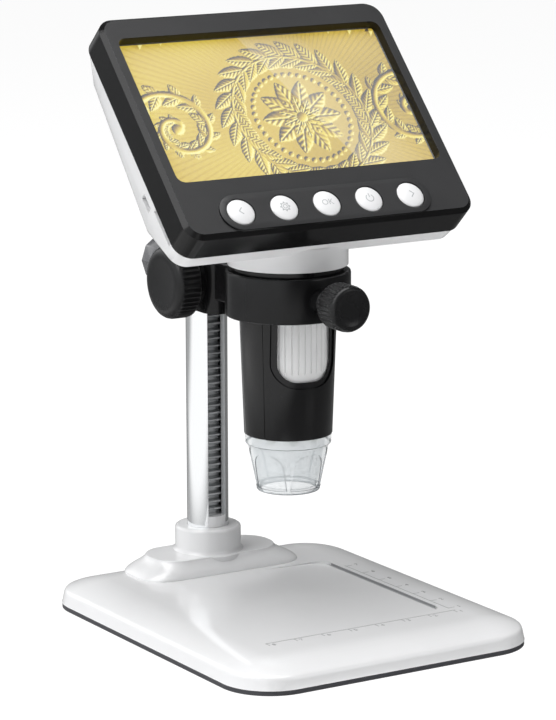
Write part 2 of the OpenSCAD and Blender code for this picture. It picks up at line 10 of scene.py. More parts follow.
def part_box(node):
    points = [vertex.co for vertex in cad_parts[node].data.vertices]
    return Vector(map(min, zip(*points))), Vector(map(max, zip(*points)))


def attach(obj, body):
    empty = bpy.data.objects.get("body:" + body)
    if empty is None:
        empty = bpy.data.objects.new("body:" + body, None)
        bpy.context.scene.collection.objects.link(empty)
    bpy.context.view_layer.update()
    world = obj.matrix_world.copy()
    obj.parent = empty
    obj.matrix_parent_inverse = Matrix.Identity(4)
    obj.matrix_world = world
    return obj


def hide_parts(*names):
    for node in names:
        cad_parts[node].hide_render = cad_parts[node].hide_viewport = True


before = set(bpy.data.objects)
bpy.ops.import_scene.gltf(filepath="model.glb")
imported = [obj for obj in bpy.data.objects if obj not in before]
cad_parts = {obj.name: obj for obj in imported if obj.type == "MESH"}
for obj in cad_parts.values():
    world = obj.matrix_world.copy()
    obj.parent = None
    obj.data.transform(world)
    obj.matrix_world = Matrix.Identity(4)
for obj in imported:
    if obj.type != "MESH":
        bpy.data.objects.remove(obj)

bl_info = {
    "name": "Desk microscope with its own screen",
    "version": (1, 0, 0),
    "blender": (4, 5, 0),
    "location": "View3D > Sidebar > Microscope",
    "description": "Builds the visible pieces of a desk microscope around its packed frame",
    "category": "Add Mesh",
}

MM = 0.001
SEAM = 57.0                      # half angle of the barrel's front cover, degrees
LEAN = 43.3                      # lean of the screen back from upright, degrees
SCREEN_CENTRE = (0, 3.7, 169.9)  # middle of the screen, in the plane of the bezel's face
HEAD = Matrix.Translation(SCREEN_CENTRE) @ Matrix.Rotation(math.radians(90 - LEAN), 4, "X")
HEAD_CORNER = 6.0
KEY_ROW = (-1, -40.6)            # middle key, from the screen's centre
CLAMP_HEIGHT = 109.2             # axis of the thumbscrew
SHAFT_Y, SHAFT_HEIGHT = 42.9, 107.2
TENSION_KNOB_AT = (0, 69.2, 108)
FOOT_LOW, FOOT_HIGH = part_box("foot_shell")
ALONG_X = Matrix.Rotation(math.radians(90), 4, "Y")
TO_FRONT = Matrix.Rotation(math.radians(90), 4, "X")      # local z points at the user
TO_BACK = Matrix.Rotation(math.radians(-90), 4, "X")


# ------------------------------------------------------------------ settings
class StandSizes(bpy.types.PropertyGroup):
    foot_width: FloatProperty(name="Foot width", description="Foot, left to right, in mm",
                              default=1000 * (FOOT_HIGH[0] - FOOT_LOW[0]))
    foot_depth: FloatProperty(name="Foot depth", description="Foot, front to back, in mm",
                              default=1000 * (FOOT_HIGH[1] - FOOT_LOW[1]))
    foot_top: FloatProperty(name="Foot height", description="Height of the foot's top, in mm", default=8.5)
    foot_corner: FloatProperty(name="Foot corner", description="Corner radius in plan, in mm", default=17.0)
    step_depth: FloatProperty(name="Step depth", description="Sunk stage at its right edge, in mm",
                              default=0.8)
    step_length: FloatProperty(name="Step length", description="From that edge to where it runs out, in mm",
                               default=24.0)
    column_y: FloatProperty(name="Column position", description="Column behind the barrel, in mm",
                            default=51.0)
    column_radius: FloatProperty(name="Column radius", description="Outside of the tube, in mm",
                                 default=6.9)
    slot_width: FloatProperty(name="Slot width", description="Slot that shows the rack, in mm", default=6.6)
    knob_ridges: IntProperty(name="Knob ridges", description="Ridges round the big knob", default=44, min=12)


class BarrelSizes(bpy.types.PropertyGroup):
    window_turn: FloatProperty(name="Window direction", description="Degrees from the front", default=-6.5)
    window_width: FloatProperty(name="Window width", description="Opening over the wheel, in mm",
                                default=18.4)
    wheel_ribs: IntProperty(name="Wheel ribs", description="Ribs round the focus wheel", default=40, min=12)
    tip_panels: IntProperty(name="Tip panels", description="Arched panels round the clear tip",
                            default=5, min=3)


class HeadSizes(bpy.types.PropertyGroup):
    width: FloatProperty(name="Bezel width", description="Head, left to right, in mm", default=105.3)
    above: FloatProperty(name="Bezel above", description="Bezel over the screen's centre, in mm",
                         default=36.0)
    below: FloatProperty(name="Bezel below", description="Bezel under the screen's centre, in mm",
                         default=48.3)
    depth: FloatProperty(name="Bezel depth", description="Thickness of the bezel, in mm", default=10.9)
    screen_width: FloatProperty(name="Screen width", description="Opening, in mm", default=96.5)
    screen_height: FloatProperty(name="Screen height", description="Opening, in mm", default=55.1)
    key_radius: FloatProperty(name="Key radius", description="Each round key, in mm", default=4.7)
    key_pitch: FloatProperty(name="Key spacing", description="Between key centres, in mm", default=15.5)


def colour(name, text, rgb):
    return FloatVectorProperty(name=name, description=text, subtype="COLOR", size=4, min=0, max=1,
                               default=(*rgb, 1.0))


class Finishes(bpy.types.PropertyGroup):
    white: colour("White plastic", "Foot, rear shell and keys", (0.80, 0.80, 0.805))
    bezel: colour("Bezel", "Satin charcoal of the bezel", (0.034, 0.034, 0.035))
    black: colour("Gloss black", "Barrel, ring and carriage", (0.008, 0.008, 0.0085))
    grip: colour("Knob black", "Ridged knobs", (0.010, 0.010, 0.0105))
    rack: colour("Rack metal", "Rack in the column's slot", (0.80, 0.805, 0.81))


def sizes(kind):
    return getattr(bpy.context.scene, "microscope_" + kind)


# ------------------------------------------------------------------ mesh tools
def lathe(profile, steps=96, start=0.0, sweep=360.0, closed=True):
    """Turns a profile of (radius, height) points about local z."""
    bm = bmesh.new()
    ring = [bm.verts.new((r, 0, z)) for r, z in profile]
    edges = [bm.edges.new(pair) for pair in zip(ring, ring[1:])]
    if closed:
        edges.append(bm.edges.new((ring[-1], ring[0])))
    bmesh.ops.rotate(bm, verts=ring, cent=(0, 0, 0), matrix=Matrix.Rotation(math.radians(start), 3, "Z"))
    full = sweep > 359.9
    bmesh.ops.spin(bm, geom=ring + edges, cent=(0, 0, 0), axis=(0, 0, 1), dvec=(0, 0, 0),
                   angle=math.radians(sweep), steps=steps, use_merge=full, use_duplicate=False)
    bmesh.ops.remove_doubles(bm, verts=bm.verts, dist=1e-4)
    if not full:
        bmesh.ops.holes_fill(bm, edges=[e for e in bm.edges if e.is_boundary], sides=0)
    bmesh.ops.recalc_face_normals(bm, faces=bm.faces)
    return bm


def soften(bm, width, segments=3, limit=30.0, only=None):
    """Rounds every edge sharper than limit degrees."""
    edges = [e for e in bm.edges if len(e.link_faces) == 2
             and math.degrees(e.calc_face_angle(0)) > limit and (only is None or only(e))]
    bmesh.ops.bevel(bm, geom=edges, offset=width, offset_type="OFFSET", segments=segments, profile=0.5,
                    affect="EDGES", clamp_overlap=True, material=-1)
    return bm


def slab(w, d, h, r, segments=12, at=(0, 0, 0)):
    """Plate with round corners in plan, standing on local z = 0."""
    bm = bmesh.new()
    box = Matrix.Translation((0, 0, h / 2)) @ Matrix.Diagonal((w, d, h, 1))
    bmesh.ops.create_cube(bm, size=1, matrix=box)
    upright = [e for e in bm.edges if abs(e.verts[0].co.z - e.verts[1].co.z) > h / 2]
    if r > 0:
        bmesh.ops.bevel(bm, geom=upright, offset=r, segments=segments, profile=0.5, affect="EDGES",
                        clamp_overlap=True, material=-1)
    bmesh.ops.translate(bm, verts=bm.verts, vec=at)
    return bm


def place(bm, matrix):
    bmesh.ops.transform(bm, matrix=matrix, verts=bm.verts)
    return bm


def joined(*parts):
    """One mesh of several closed parts."""
    bm = bmesh.new()
    for part in parts:
        mesh = bpy.data.meshes.new("part")
        part.to_mesh(mesh)
        part.free()
        bm.from_mesh(mesh)
        bpy.data.meshes.remove(mesh)
    return bm


def combine(base, tool, how="DIFFERENCE"):
    """Boolean of two closed meshes."""
    pair = []
    for name, bm in (("base", base), ("tool", tool)):
        mesh = bpy.data.meshes.new(name)
        bm.to_mesh(mesh)
        bm.free()
        obj = bpy.data.objects.new(name, mesh)
        bpy.context.scene.collection.objects.link(obj)
        pair.append(obj)
    cut = pair[0].modifiers.new("cut", "BOOLEAN")
    cut.operation, cut.solver, cut.object = how, "EXACT", pair[1]
    result = bpy.data.meshes.new_from_object(pair[0].evaluated_get(bpy.context.evaluated_depsgraph_get()))
    for obj in pair:
        mesh = obj.data
        bpy.data.objects.remove(obj)
        bpy.data.meshes.remove(mesh)
    bm = bmesh.new()
    bm.from_mesh(result)
    bpy.data.meshes.remove(result)
    bmesh.ops.remove_doubles(bm, verts=bm.verts, dist=1e-4)
    if not bm.faces:
        raise RuntimeError("a cut left nothing")
    return bm


def show(bm, name, body, material, instead_of=(), at=None, smooth=35.0):
    """Makes the finished piece: millimetres to metres, smooth shading, body and slot."""
    if at is not None:
        place(bm, at)
    bmesh.ops.scale(bm, vec=(MM, MM, MM), verts=bm.verts)
    mesh = bpy.data.meshes.new(name)
    bm.to_mesh(mesh)
    bm.free()
    mesh.polygons.foreach_set("use_smooth", [True] * len(mesh.polygons))
    mesh.set_sharp_from_angle(angle=math.radians(smooth))
    mesh.materials.append(bpy.data.materials[material])
    obj = bpy.data.objects.new(name, mesh)
    bpy.context.scene.collection.objects.link(obj)
    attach(obj, body)
    if instead_of:
        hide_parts(*instead_of)
    return obj


def merged_copy(node):
    """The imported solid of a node, in millimetres, with its loose triangles joined up."""
    bm = bmesh.new()
    bm.from_mesh(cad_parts[node].data)
    bmesh.ops.scale(bm, vec=(1000, 1000, 1000), verts=bm.verts)
    bmesh.ops.remove_doubles(bm, verts=bm.verts, dist=2e-3)
    bmesh.ops.dissolve_limit(bm, angle_limit=math.radians(0.6), verts=bm.verts, edges=bm.edges)
    bmesh.ops.recalc_face_normals(bm, faces=bm.faces)
    return bm


def round_edges(obj, width, segments, limit):
    """Fine rounding of the finished piece's edges, in millimetres and degrees."""
    edge = obj.modifiers.new("soft edges", "BEVEL")
    edge.width, edge.segments = width * MM, segments
    edge.limit_method, edge.angle_limit = "ANGLE", math.radians(limit)


def paint(material, *nodes):
    """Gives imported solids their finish."""
    for node in nodes:
        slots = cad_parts[node].data.materials
        slots.clear()
        slots.append(bpy.data.materials[material])


# ------------------------------------------------------------------ finishes
def group(name, inputs, outputs):
    tree = bpy.data.node_groups.new(name, "ShaderNodeTree")
    for label, value in inputs:
        tree.interface.new_socket(label, in_out="INPUT", socket_type="NodeSocketFloat").default_value = value
    for label in outputs:
        tree.interface.new_socket(label, in_out="OUTPUT", socket_type="NodeSocketFloat")
    return tree, tree.nodes.new("NodeGroupInput"), tree.nodes.new("NodeGroupOutput")


def wire(tree, *pairs):
    for out, into in pairs:
        tree.links.new(out, into)


def math_node(tree, how, a, b, clamp=False):
    node = tree.nodes.new("ShaderNodeMath")
    node.operation, node.use_clamp = how, clamp
    for value, socket in ((a, node.inputs[0]), (b, node.inputs[1])):
        if isinstance(value, (int, float)):
            socket.default_value = value
        else:
            tree.links.new(value, socket)
    return node.outputs[0]


def make_moulded_skin():
    """Fine texture of moulded plastic, with faint smudges where it is handled."""
    tree, gin, gout = group("moulded_skin", [("Grain scale", 2500), ("Grain depth", 0.3),
                                              ("Roughness", 0.3), ("Smudge", 0.06)], ["Height", "Roughness"])
    where = tree.nodes.new("ShaderNodeTexCoord")
    grain, cloud, streak = (tree.nodes.new("ShaderNodeTexNoise") for _ in range(3))
    grain.inputs["Detail"].default_value = 3
    cloud.inputs["Scale"].default_value, cloud.inputs["Detail"].default_value = 38, 4
    streak.inputs["Scale"].default_value, streak.inputs["Detail"].default_value = 190, 5
    wire(tree, (gin.outputs["Grain scale"], grain.inputs["Scale"]),
         *((where.outputs["Object"], noise.inputs["Vector"]) for noise in (grain, cloud, streak)))
    height = math_node(tree, "MULTIPLY", grain.outputs["Fac"], gin.outputs["Grain depth"])
    both = math_node(tree, "ADD", math_node(tree, "SUBTRACT", cloud.outputs["Fac"], 0.5),
                     math_node(tree, "MULTIPLY", math_node(tree, "SUBTRACT", streak.outputs["Fac"], 0.5),
                               0.5))
    rough = math_node(tree, "ADD", gin.outputs["Roughness"],
                      math_node(tree, "MULTIPLY", both, gin.outputs["Smudge"]), clamp=True)
    wire(tree, (height, gout.inputs["Height"]), (rough, gout.inputs["Roughness"]))


def make_drawn_metal():
    """Fine lines along the local height, as drawing or polishing leaves them."""
    tree, gin, gout = group("drawn_metal", [("Line scale", 900), ("Stretch", 0.03), ("Depth", 0.3),
                                             ("Roughness", 0.1), ("Spread", 0.05)], ["Height", "Roughness"])
    where = tree.nodes.new("ShaderNodeTexCoord")
    squeeze = tree.nodes.new("ShaderNodeCombineXYZ")
    squeeze.inputs[0].default_value = squeeze.inputs[1].default_value = 1
    product = tree.nodes.new("ShaderNodeVectorMath")
    product.operation = "MULTIPLY"
    noise, blot = tree.nodes.new("ShaderNodeTexNoise"), tree.nodes.new("ShaderNodeTexNoise")
    noise.inputs["Detail"].default_value = 2
    blot.inputs["Scale"].default_value = 60
    wire(tree, (gin.outputs["Stretch"], squeeze.inputs[2]), (where.outputs["Object"], product.inputs[0]),
         (squeeze.outputs[0], product.inputs[1]), (product.outputs[0], noise.inputs["Vector"]),
         (where.outputs["Object"], blot.inputs["Vector"]), (gin.outputs["Line scale"], noise.inputs["Scale"]))
    height = math_node(tree, "MULTIPLY", noise.outputs["Fac"], gin.outputs["Depth"])
    mixed = math_node(tree, "MULTIPLY", math_node(tree, "ADD", noise.outputs["Fac"], blot.outputs["Fac"]),
                      gin.outputs["Spread"])
    wire(tree, (height, gout.inputs["Height"]),
         (math_node(tree, "ADD", gin.outputs["Roughness"], mixed, clamp=True), gout.inputs["Roughness"]))


def surface(name):
    """A new material: its node tree and its shader."""
    material = bpy.data.materials.new(name)
    material.use_nodes = True
    return material.node_tree, material.node_tree.nodes["Principled BSDF"]


def shared(tree, name, values):
    """A shared texture group inside a material, with that material's own numbers."""
    node = tree.nodes.new("ShaderNodeGroup")
    node.node_tree = bpy.data.node_groups[name]
    for label, value in values:
        node.inputs[label].default_value = value
    return node


def relief_of(tree, shader, texture, strength, distance):
    """Lets a texture group drive the shader's bump and roughness."""
    bump = tree.nodes.new("ShaderNodeBump")
    bump.inputs["Strength"].default_value, bump.inputs["Distance"].default_value = strength, distance
    wire(tree, (texture.outputs["Height"], bump.inputs["Height"]),
         (bump.outputs["Normal"], shader.inputs["Normal"]),
         (texture.outputs["Roughness"], shader.inputs["Roughness"]))


def tinted(tree, shader, rgb, amount, scale):
    """Slow change of colour over the surface, so that nothing is one flat tone."""
    where = tree.nodes.new("ShaderNodeTexCoord")
    noise, ramp = tree.nodes.new("ShaderNodeTexNoise"), tree.nodes.new("ShaderNodeValToRGB")
    noise.inputs["Scale"].default_value, noise.inputs["Detail"].default_value = scale, 5
    ramp.color_ramp.elements[0].position, ramp.color_ramp.elements[1].position = 0.3, 0.7
    ramp.color_ramp.elements[0].color = (*[c * (1 - amount) for c in rgb[:3]], 1)
    ramp.color_ramp.elements[1].color = (*[min(1, c * (1 + amount)) for c in rgb[:3]], 1)
    wire(tree, (where.outputs["Object"], noise.inputs["Vector"]), (noise.outputs["Fac"], ramp.inputs["Fac"]),
         (ramp.outputs["Color"], shader.inputs["Base Color"]))


def plastic(name, rgb, rough, grain=2500, depth=0.3, smudge=0.06, coat=0.0, bump=0.02, tint=0.04, shine=0.5):
    tree, shader = surface(name)
    tinted(tree, shader, rgb, tint, 55)
    skin = shared(tree, "moulded_skin", (("Grain scale", grain), ("Grain depth", depth), ("Roughness", rough),
                                         ("Smudge", smudge)))
    relief_of(tree, shader, skin, bump * 10, 0.0001)
    shader.inputs["Specular IOR Level"].default_value = shine
    shader.inputs["Coat Weight"].default_value = coat
    shader.inputs["Coat Roughness"].default_value = 0.08
    return shader


def metal(name, rgb, rough, lines=900, stretch=0.03, spread=0.05, bump=0.1, tint=0.03, metallic=1.0):
    tree, shader = surface(name)
    tinted(tree, shader, rgb, tint, 80)
    shader.inputs["Metallic"].default_value = metallic
    drawn = shared(tree, "drawn_metal", (("Line scale", lines), ("Stretch", stretch), ("Roughness", rough),
                                         ("Spread", spread)))
    relief_of(tree, shader, drawn, bump, 0.00005)


def clear(name, rgb, rough, ior, edge=1.0):
    """Clear moulding or glass: smudged in its roughness, with painted shade that darkens its colour where it
    is seen edge on.
    """
    tree, shader = surface(name)
    # painted shade: the colour is scaled down towards edge times itself as the surface turns edge on to the
    # view
    slant, ramp = tree.nodes.new("ShaderNodeLayerWeight"), tree.nodes.new("ShaderNodeValToRGB")
    slant.inputs["Blend"].default_value = 0.5
    for stop, place_at, k in zip((0, 1), (0.55, 0.97), (1.0, edge)):
        ramp.color_ramp.elements[stop].position = place_at
        ramp.color_ramp.elements[stop].color = (*[c * k for c in rgb], 1)
    wire(tree, (slant.outputs["Facing"], ramp.inputs["Fac"]),
         (ramp.outputs["Color"], shader.inputs["Base Color"]))
    shader.inputs["Transmission Weight"].default_value = 1.0
    shader.inputs["IOR"].default_value = ior
    skin = shared(tree, "moulded_skin", (("Grain scale", 900), ("Grain depth", 0.2), ("Roughness", rough),
                                         ("Smudge", 0.02)))
    wire(tree, (skin.outputs["Roughness"], shader.inputs["Roughness"]))


def glowing(name, attribute, strength):
    """Lit surface whose colours are stored on its own mesh, and which hardly lights what is round it."""
    tree, shader = surface(name)
    shader.inputs["Base Color"].default_value = (0.01, 0.01, 0.01, 1)
    shader.inputs["Roughness"].default_value = 0.5
    shader.inputs["Specular IOR Level"].default_value = 0.05
    shader.inputs["Emission Strength"].default_value = strength
    read = tree.nodes.new("ShaderNodeAttribute")
    read.attribute_name = attribute
    path = tree.nodes.new("ShaderNodeLightPath")
    spill = math_node(tree, "MULTIPLY", path.outputs["Is Diffuse Ray"], -0.9 * strength)
    wire(tree, (read.outputs["Color"], shader.inputs["Emission Color"]),
         (math_node(tree, "ADD", spill, strength), shader.inputs["Emission Strength"]))


def cover_glass(name):
    """Thin clear cover: see-through, with a mirror film on top."""
    tree, shader = surface(name)
    tree.nodes.remove(shader)
    through, mirror = tree.nodes.new("ShaderNodeBsdfTransparent"), tree.nodes.new("ShaderNodeBsdfGlossy")
    edge, mix = tree.nodes.new("ShaderNodeFresnel"), tree.nodes.new("ShaderNodeMixShader")
    mirror.inputs["Roughness"].default_value = 0.03
    edge.inputs["IOR"].default_value = 1.45
    side = tree.nodes.new("ShaderNodeNewGeometry")
    outside = math_node(tree, "SUBTRACT", 1, side.outputs["Backfacing"])
    wire(tree, (math_node(tree, "MULTIPLY", edge.outputs[0], outside), mix.inputs[0]),
         (through.outputs[0], mix.inputs[1]), (mirror.outputs[0], mix.inputs[2]),
         (mix.outputs[0], tree.nodes["Material Output"].inputs["Surface"]))


class MICROSCOPE_OT_finishes(bpy.types.Operator):
    """Makes every material of the microscope"""
    bl_idname = "microscope.finishes"
    bl_label = "Finishes"

    def execute(self, context):
        look = sizes("finishes")
        # open fault: a name that is also a slot in the record finds the plain material of that slot
        make_moulded_skin()
        make_drawn_metal()
        for part in ("foot", "shell"):
            plastic(part + "_gloss_white", look.white, 0.20, grain=1400, depth=0.25, smudge=0.10, coat=0.25,
                    bump=0.012, tint=0.012)
        plastic("key_satin_white", look.white, 0.30, grain=3000, depth=0.3, smudge=0.08, bump=0.02,
                tint=0.012)
        plastic("mark_grey", (0.42, 0.43, 0.44), 0.45, smudge=0.1)
        # ruler_grey colours the printed ruler marks and also the painted shade at the sunk stage's step
        plastic("ruler_grey", (0.27, 0.275, 0.28), 0.45, smudge=0.1)
        plastic("bezel_satin_charcoal", look.bezel, 0.36, grain=5200, depth=0.6, smudge=0.08, bump=0.04,
                tint=0.08, shine=0.25)
        # the bezel's sides: a glossier finish, and painted shade in a colour darker than the front's
        plastic("bezel_gloss_side", (0.006, 0.006, 0.0062), 0.16, grain=2600, smudge=0.08, bump=0.01,
                tint=0.10, shine=0.22)
        plastic("ring_gloss_black", look.black, 0.24, grain=2600, smudge=0.12, bump=0.02,
                tint=0.10, shine=0.24)
        plastic("barrel_gloss_black", look.black, 0.20, grain=2600, smudge=0.12, bump=0.015,
                tint=0.10, shine=0.32)
        plastic("knob_satin_black", look.grip, 0.27, grain=3600, depth=0.4, smudge=0.14, bump=0.03,
                tint=0.10, shine=0.25)
        plastic("tension_gloss_grey", (0.085, 0.085, 0.09), 0.18, smudge=0.10, coat=0.3, tint=0.06)
        plastic("plate_black", (0.018, 0.018, 0.019), 0.55, grain=900, depth=0.8, smudge=0.15, bump=0.05,
                tint=0.15)
        plastic("cap_black", look.black, 0.25, smudge=0.10, tint=0.08)
        plastic("wheel_white", (0.74, 0.74, 0.745), 0.33, grain=2200, smudge=0.10, bump=0.02, tint=0.015)
        plastic("lens_black", (0.012, 0.012, 0.012), 0.6, smudge=0.1)
        plastic("board_green", (0.02, 0.12, 0.045), 0.42, grain=700, depth=0.9, smudge=0.2, bump=0.05,
                tint=0.2)
        plastic("board_white", (0.72, 0.73, 0.74), 0.4, smudge=0.1, tint=0.03)
        plastic("chip_black", (0.02, 0.02, 0.02), 0.5, smudge=0.15)
        plastic("nylon", (0.62, 0.60, 0.52), 0.5, smudge=0.1)
        plastic("cell_wrap", (0.10, 0.18, 0.34), 0.3, smudge=0.2)
        metal("tube_chrome", (0.86, 0.87, 0.88), 0.03, lines=700, stretch=0.02, spread=0.03, bump=0.03)
        metal("rack_metal", look.rack, 0.42, lines=500, stretch=1.0, spread=0.12, bump=0.2, tint=0.12,
              metallic=0.0)
        metal("screw_steel", (0.52, 0.53, 0.54), 0.26, lines=800, stretch=1.0, spread=0.1)
        metal("gear_brass", (0.62, 0.44, 0.17), 0.28, lines=600, stretch=1.0, spread=0.1)
        # painted shade: tip_clear and lens_coated darken edge on, and tip_clear_edge is a dark clear for the
        # tip's edge faces
        clear("tip_clear", (0.99, 0.995, 1.0), 0.0, 1.40, edge=0.05)
        clear("tip_clear_edge", (0.22, 0.235, 0.25), 0.05, 1.40, edge=0.2)
        clear("lens_coated", (0.70, 0.78, 0.95), 0.01, 1.52, edge=0.6)
        glowing("screen_lit", "picture", 1.1)
        cover_glass("screen_cover")
        epoxy = plastic("lamp_epoxy", (0.85, 0.88, 0.92), 0.15, smudge=0.05)
        epoxy.inputs["Emission Color"].default_value = (0.75, 0.88, 1.0, 1)
        epoxy.inputs["Emission Strength"].default_value = 0.6
        return {"FINISHED"}


# ------------------------------------------------------------------ foot
# how far the foot's outline has drawn in at each height: side, edge and gently domed top
FOOT_EDGE = ((0.3, 1.5), (0.45, 1.8), (0.95, 4.4), (1.2, 5.2), (1.45, 5.65), (1.85, 5.98), (2.5, 6.28),
             (3.6, 6.7),
             (5.0, 7.14), (6.6, 7.54), (8.4, 7.9), (10.2, 8.16), (12.0, 8.35), (13.6, 8.45), (15.2, 8.5))
FOOT_BASE = 1.5                  # top of the black plate under the foot
FRONT_FALL, FRONT_RUN = 1.4, 19  # how much the foot's top falls at the front, and over what length
STAGE_EDGE = 34.8                # right edge of the sunk stage
STAGE_Y, STAGE_LONG = -2.2, 70.6  # its middle and its length, front to back
RISER_LAYERS, RISER_TALL = 20, 5.5


def loft(levels, segments):
    """Solid through rounded outlines, each given as width, depth, corner radius, height and y."""
    bm, loops = bmesh.new(), []
    for wide, deep, radius, z, y in levels:
        outline = slab(wide, deep, 1, min(radius, deep / 2 - 0.5), segments)
        low = sorted((v.co.copy() for v in outline.verts if v.co.z < 0.5), key=lambda c: math.atan2(c.y, c.x))
        outline.free()
        loops.append([bm.verts.new((c.x, c.y + y, z)) for c in low])
    for under, over in zip(loops, loops[1:]):
        for a in range(len(under)):
            b = (a + 1) % len(under)
            bm.faces.new((under[a], under[b], over[b], over[a]))
    bm.faces.new(loops[-1])
    bm.faces.new(list(reversed(loops[0])))
    bmesh.ops.recalc_face_normals(bm, faces=bm.faces)
    return bm


def sink_front(bm, front, start, drop, base, top):
    """Lets the top fall away towards the front edge on a smooth curve."""
    for i in range(1, 15):
        y = front + (start - front) * i / 15
        bmesh.ops.bisect_plane(bm, geom=bm.verts[:] + bm.edges[:] + bm.faces[:], dist=1e-5,
                               plane_co=(0, y, 0), plane_no=(0, 1, 0))
    for v in bm.verts:
        if v.co.y < start:
            t = (start - v.co.y) / (start - front)
            curve = 1 - math.sqrt(max(0.0, 1 - (0.93 * t) ** 2))
            v.co.z -= drop * curve * max(0.0, v.co.z - base) / (top - base)
    return bm


class MICROSCOPE_OT_foot(bpy.types.Operator):
    """Builds the white foot with its riser and boss"""
    bl_idname = "microscope.foot"
    bl_label = "Foot"

    def execute(self, context):
        s = sizes("stand")
        w, d, top = s.foot_width, s.foot_depth, s.foot_top
        rounded = [(w - 2 * inset, d - 2 * inset, max(1.5, s.foot_corner - inset), z, 0) for inset,
                   z in FOOT_EDGE]
        body = sink_front(loft(rounded, 16), -d / 2, -d / 2 + FRONT_RUN, FRONT_FALL, FOOT_BASE, top)
        stage = slab(s.step_length + 12, STAGE_LONG, 4, 5, 8, at=(-s.step_length / 2 - 6, STAGE_Y, 0))
        place(stage, Matrix.Translation((STAGE_EDGE, 0, top - s.step_depth))
              @ Matrix.Rotation(math.asin(s.step_depth / s.step_length), 4, "Y"))
        body = combine(body, stage)
        show(body, "foot_top", "stand", "foot_gloss_white", ["foot_shell"], smooth=28)

        levels = [(60, 25.8, 9.5, 6.4, 48.9)]
        for k in range(RISER_LAYERS + 1):
            swell = 0.5 + 0.5 * math.cos(math.pi * k / RISER_LAYERS)
            levels.append((46 + 14 * swell, 20.4 + 5.4 * swell, 9.5,
                           top - 0.1 + RISER_TALL * k / RISER_LAYERS,
                           49.8 - 0.9 * swell))
        riser = loft(levels, 10)
        soften(riser, 1.6, 5, 40, lambda e: all(v.co.z > top + RISER_TALL - 0.2 for v in e.verts))
        show(riser, "foot_riser", "stand", "foot_gloss_white", smooth=30)

        boss = lathe([(12.6, 13.6), (11.9, 13.85), (11.35, 14.35), (11.0, 15.2), (11.0, 21.2), (10.85, 21.75),
                      (10.35, 22.15), (9.9, 22.2), (6.98, 22.2), (6.98, 12.0), (12.6, 12.0)], 96)
        show(boss, "column_boss", "stand", "foot_gloss_white",
             at=Matrix.Translation((0, s.column_y, 0)), smooth=40)

        paint("plate_black", "foot_plate")
        paint("screw_steel", "foot_screws", "column_bolt", "foot_weight")
        return {"FINISHED"}


def lettering(text, size, at):
    """Plain figures or letters as a thin flat mesh."""
    curve = bpy.data.curves.new("lettering", "FONT")
    curve.body, curve.size, curve.extrude = text, size, 0.03
    curve.align_x, curve.align_y, curve.resolution_u = "CENTER", "CENTER", 3
    obj = bpy.data.objects.new("lettering", curve)
    bpy.context.scene.collection.objects.link(obj)
    mesh = bpy.data.meshes.new_from_object(obj.evaluated_get(bpy.context.evaluated_depsgraph_get()))
    bpy.data.objects.remove(obj)
    bm = bmesh.new()
    bm.from_mesh(mesh)
    bpy.data.meshes.remove(mesh)
    bmesh.ops.translate(bm, verts=bm.verts, vec=at)
    return bm


LINE_WIDE, LINE_THICK, LINE_SUNK = 0.22, 0.05, 0.01     # printed lines of the ruler
MARK_LONG, MARK_EVERY = 2.4, 10


class MICROSCOPE_OT_ruler(bpy.types.Operator):
    """Builds the ruler marks along the front and the right of the stage, and the painted shade at the sunk
    stage's step
    """
    bl_idname = "microscope.ruler"
    bl_label = "Ruler"

    def execute(self, context):
        top = sizes("stand").foot_top
        z = top - LINE_SUNK
        parts = [slab(71, LINE_WIDE, LINE_THICK, 0, at=(1.8, -40.4, z)),
                 slab(LINE_WIDE, 61, LINE_THICK, 0, at=(36.6, -7.2, z))]
        for i in range(8):
            x = -33.4 + MARK_EVERY * i
            parts.append(slab(LINE_WIDE, MARK_LONG, LINE_THICK, 0, at=(x, -41.6, z)))
            parts.append(lettering(str(8 - i), 2.5, (x + 1.7, -42.4, top + 0.01)))
        for i in range(7):
            y = 22.5 - MARK_EVERY * i
            parts.append(slab(MARK_LONG, LINE_WIDE, LINE_THICK, 0, at=(37.8, y, z)))
            parts.append(lettering(str(7 - i), 2.5, (40.8, y, top + 0.01)))
        show(joined(*parts), "ruler_marks", "stand", "ruler_grey")
        # painted shade: a dark strip on the sunk stage at the step's foot, and a dark sheet on the step's
        # wall, where the step is in shade
        shade = slab(0.7, 66, 0.06, 0.3, 4, at=(STAGE_EDGE - 0.5, STAGE_Y, top - 0.8))
        wall = slab(0.1, 62, 0.7, 0, at=(STAGE_EDGE - 0.08, STAGE_Y, top - 0.76))
        show(joined(shade, wall), "step_painted_shade", "stand", "ruler_grey")
        return {"FINISHED"}


# ------------------------------------------------------------------ column and carriage
def fluted(bm, count, depth, low, high, sharp=1.0):
    """Waves the side of a lathed grip between two heights into ridges."""
    for v in bm.verts:
        if low - 1e-4 <= v.co.z <= high + 1e-4:
            r = math.hypot(v.co.x, v.co.y)
            wave = 0.5 - 0.5 * math.cos(count * math.atan2(v.co.y, v.co.x))
            k = 1 - depth * (wave ** sharp) / r
            v.co.x, v.co.y = v.co.x * k, v.co.y * k


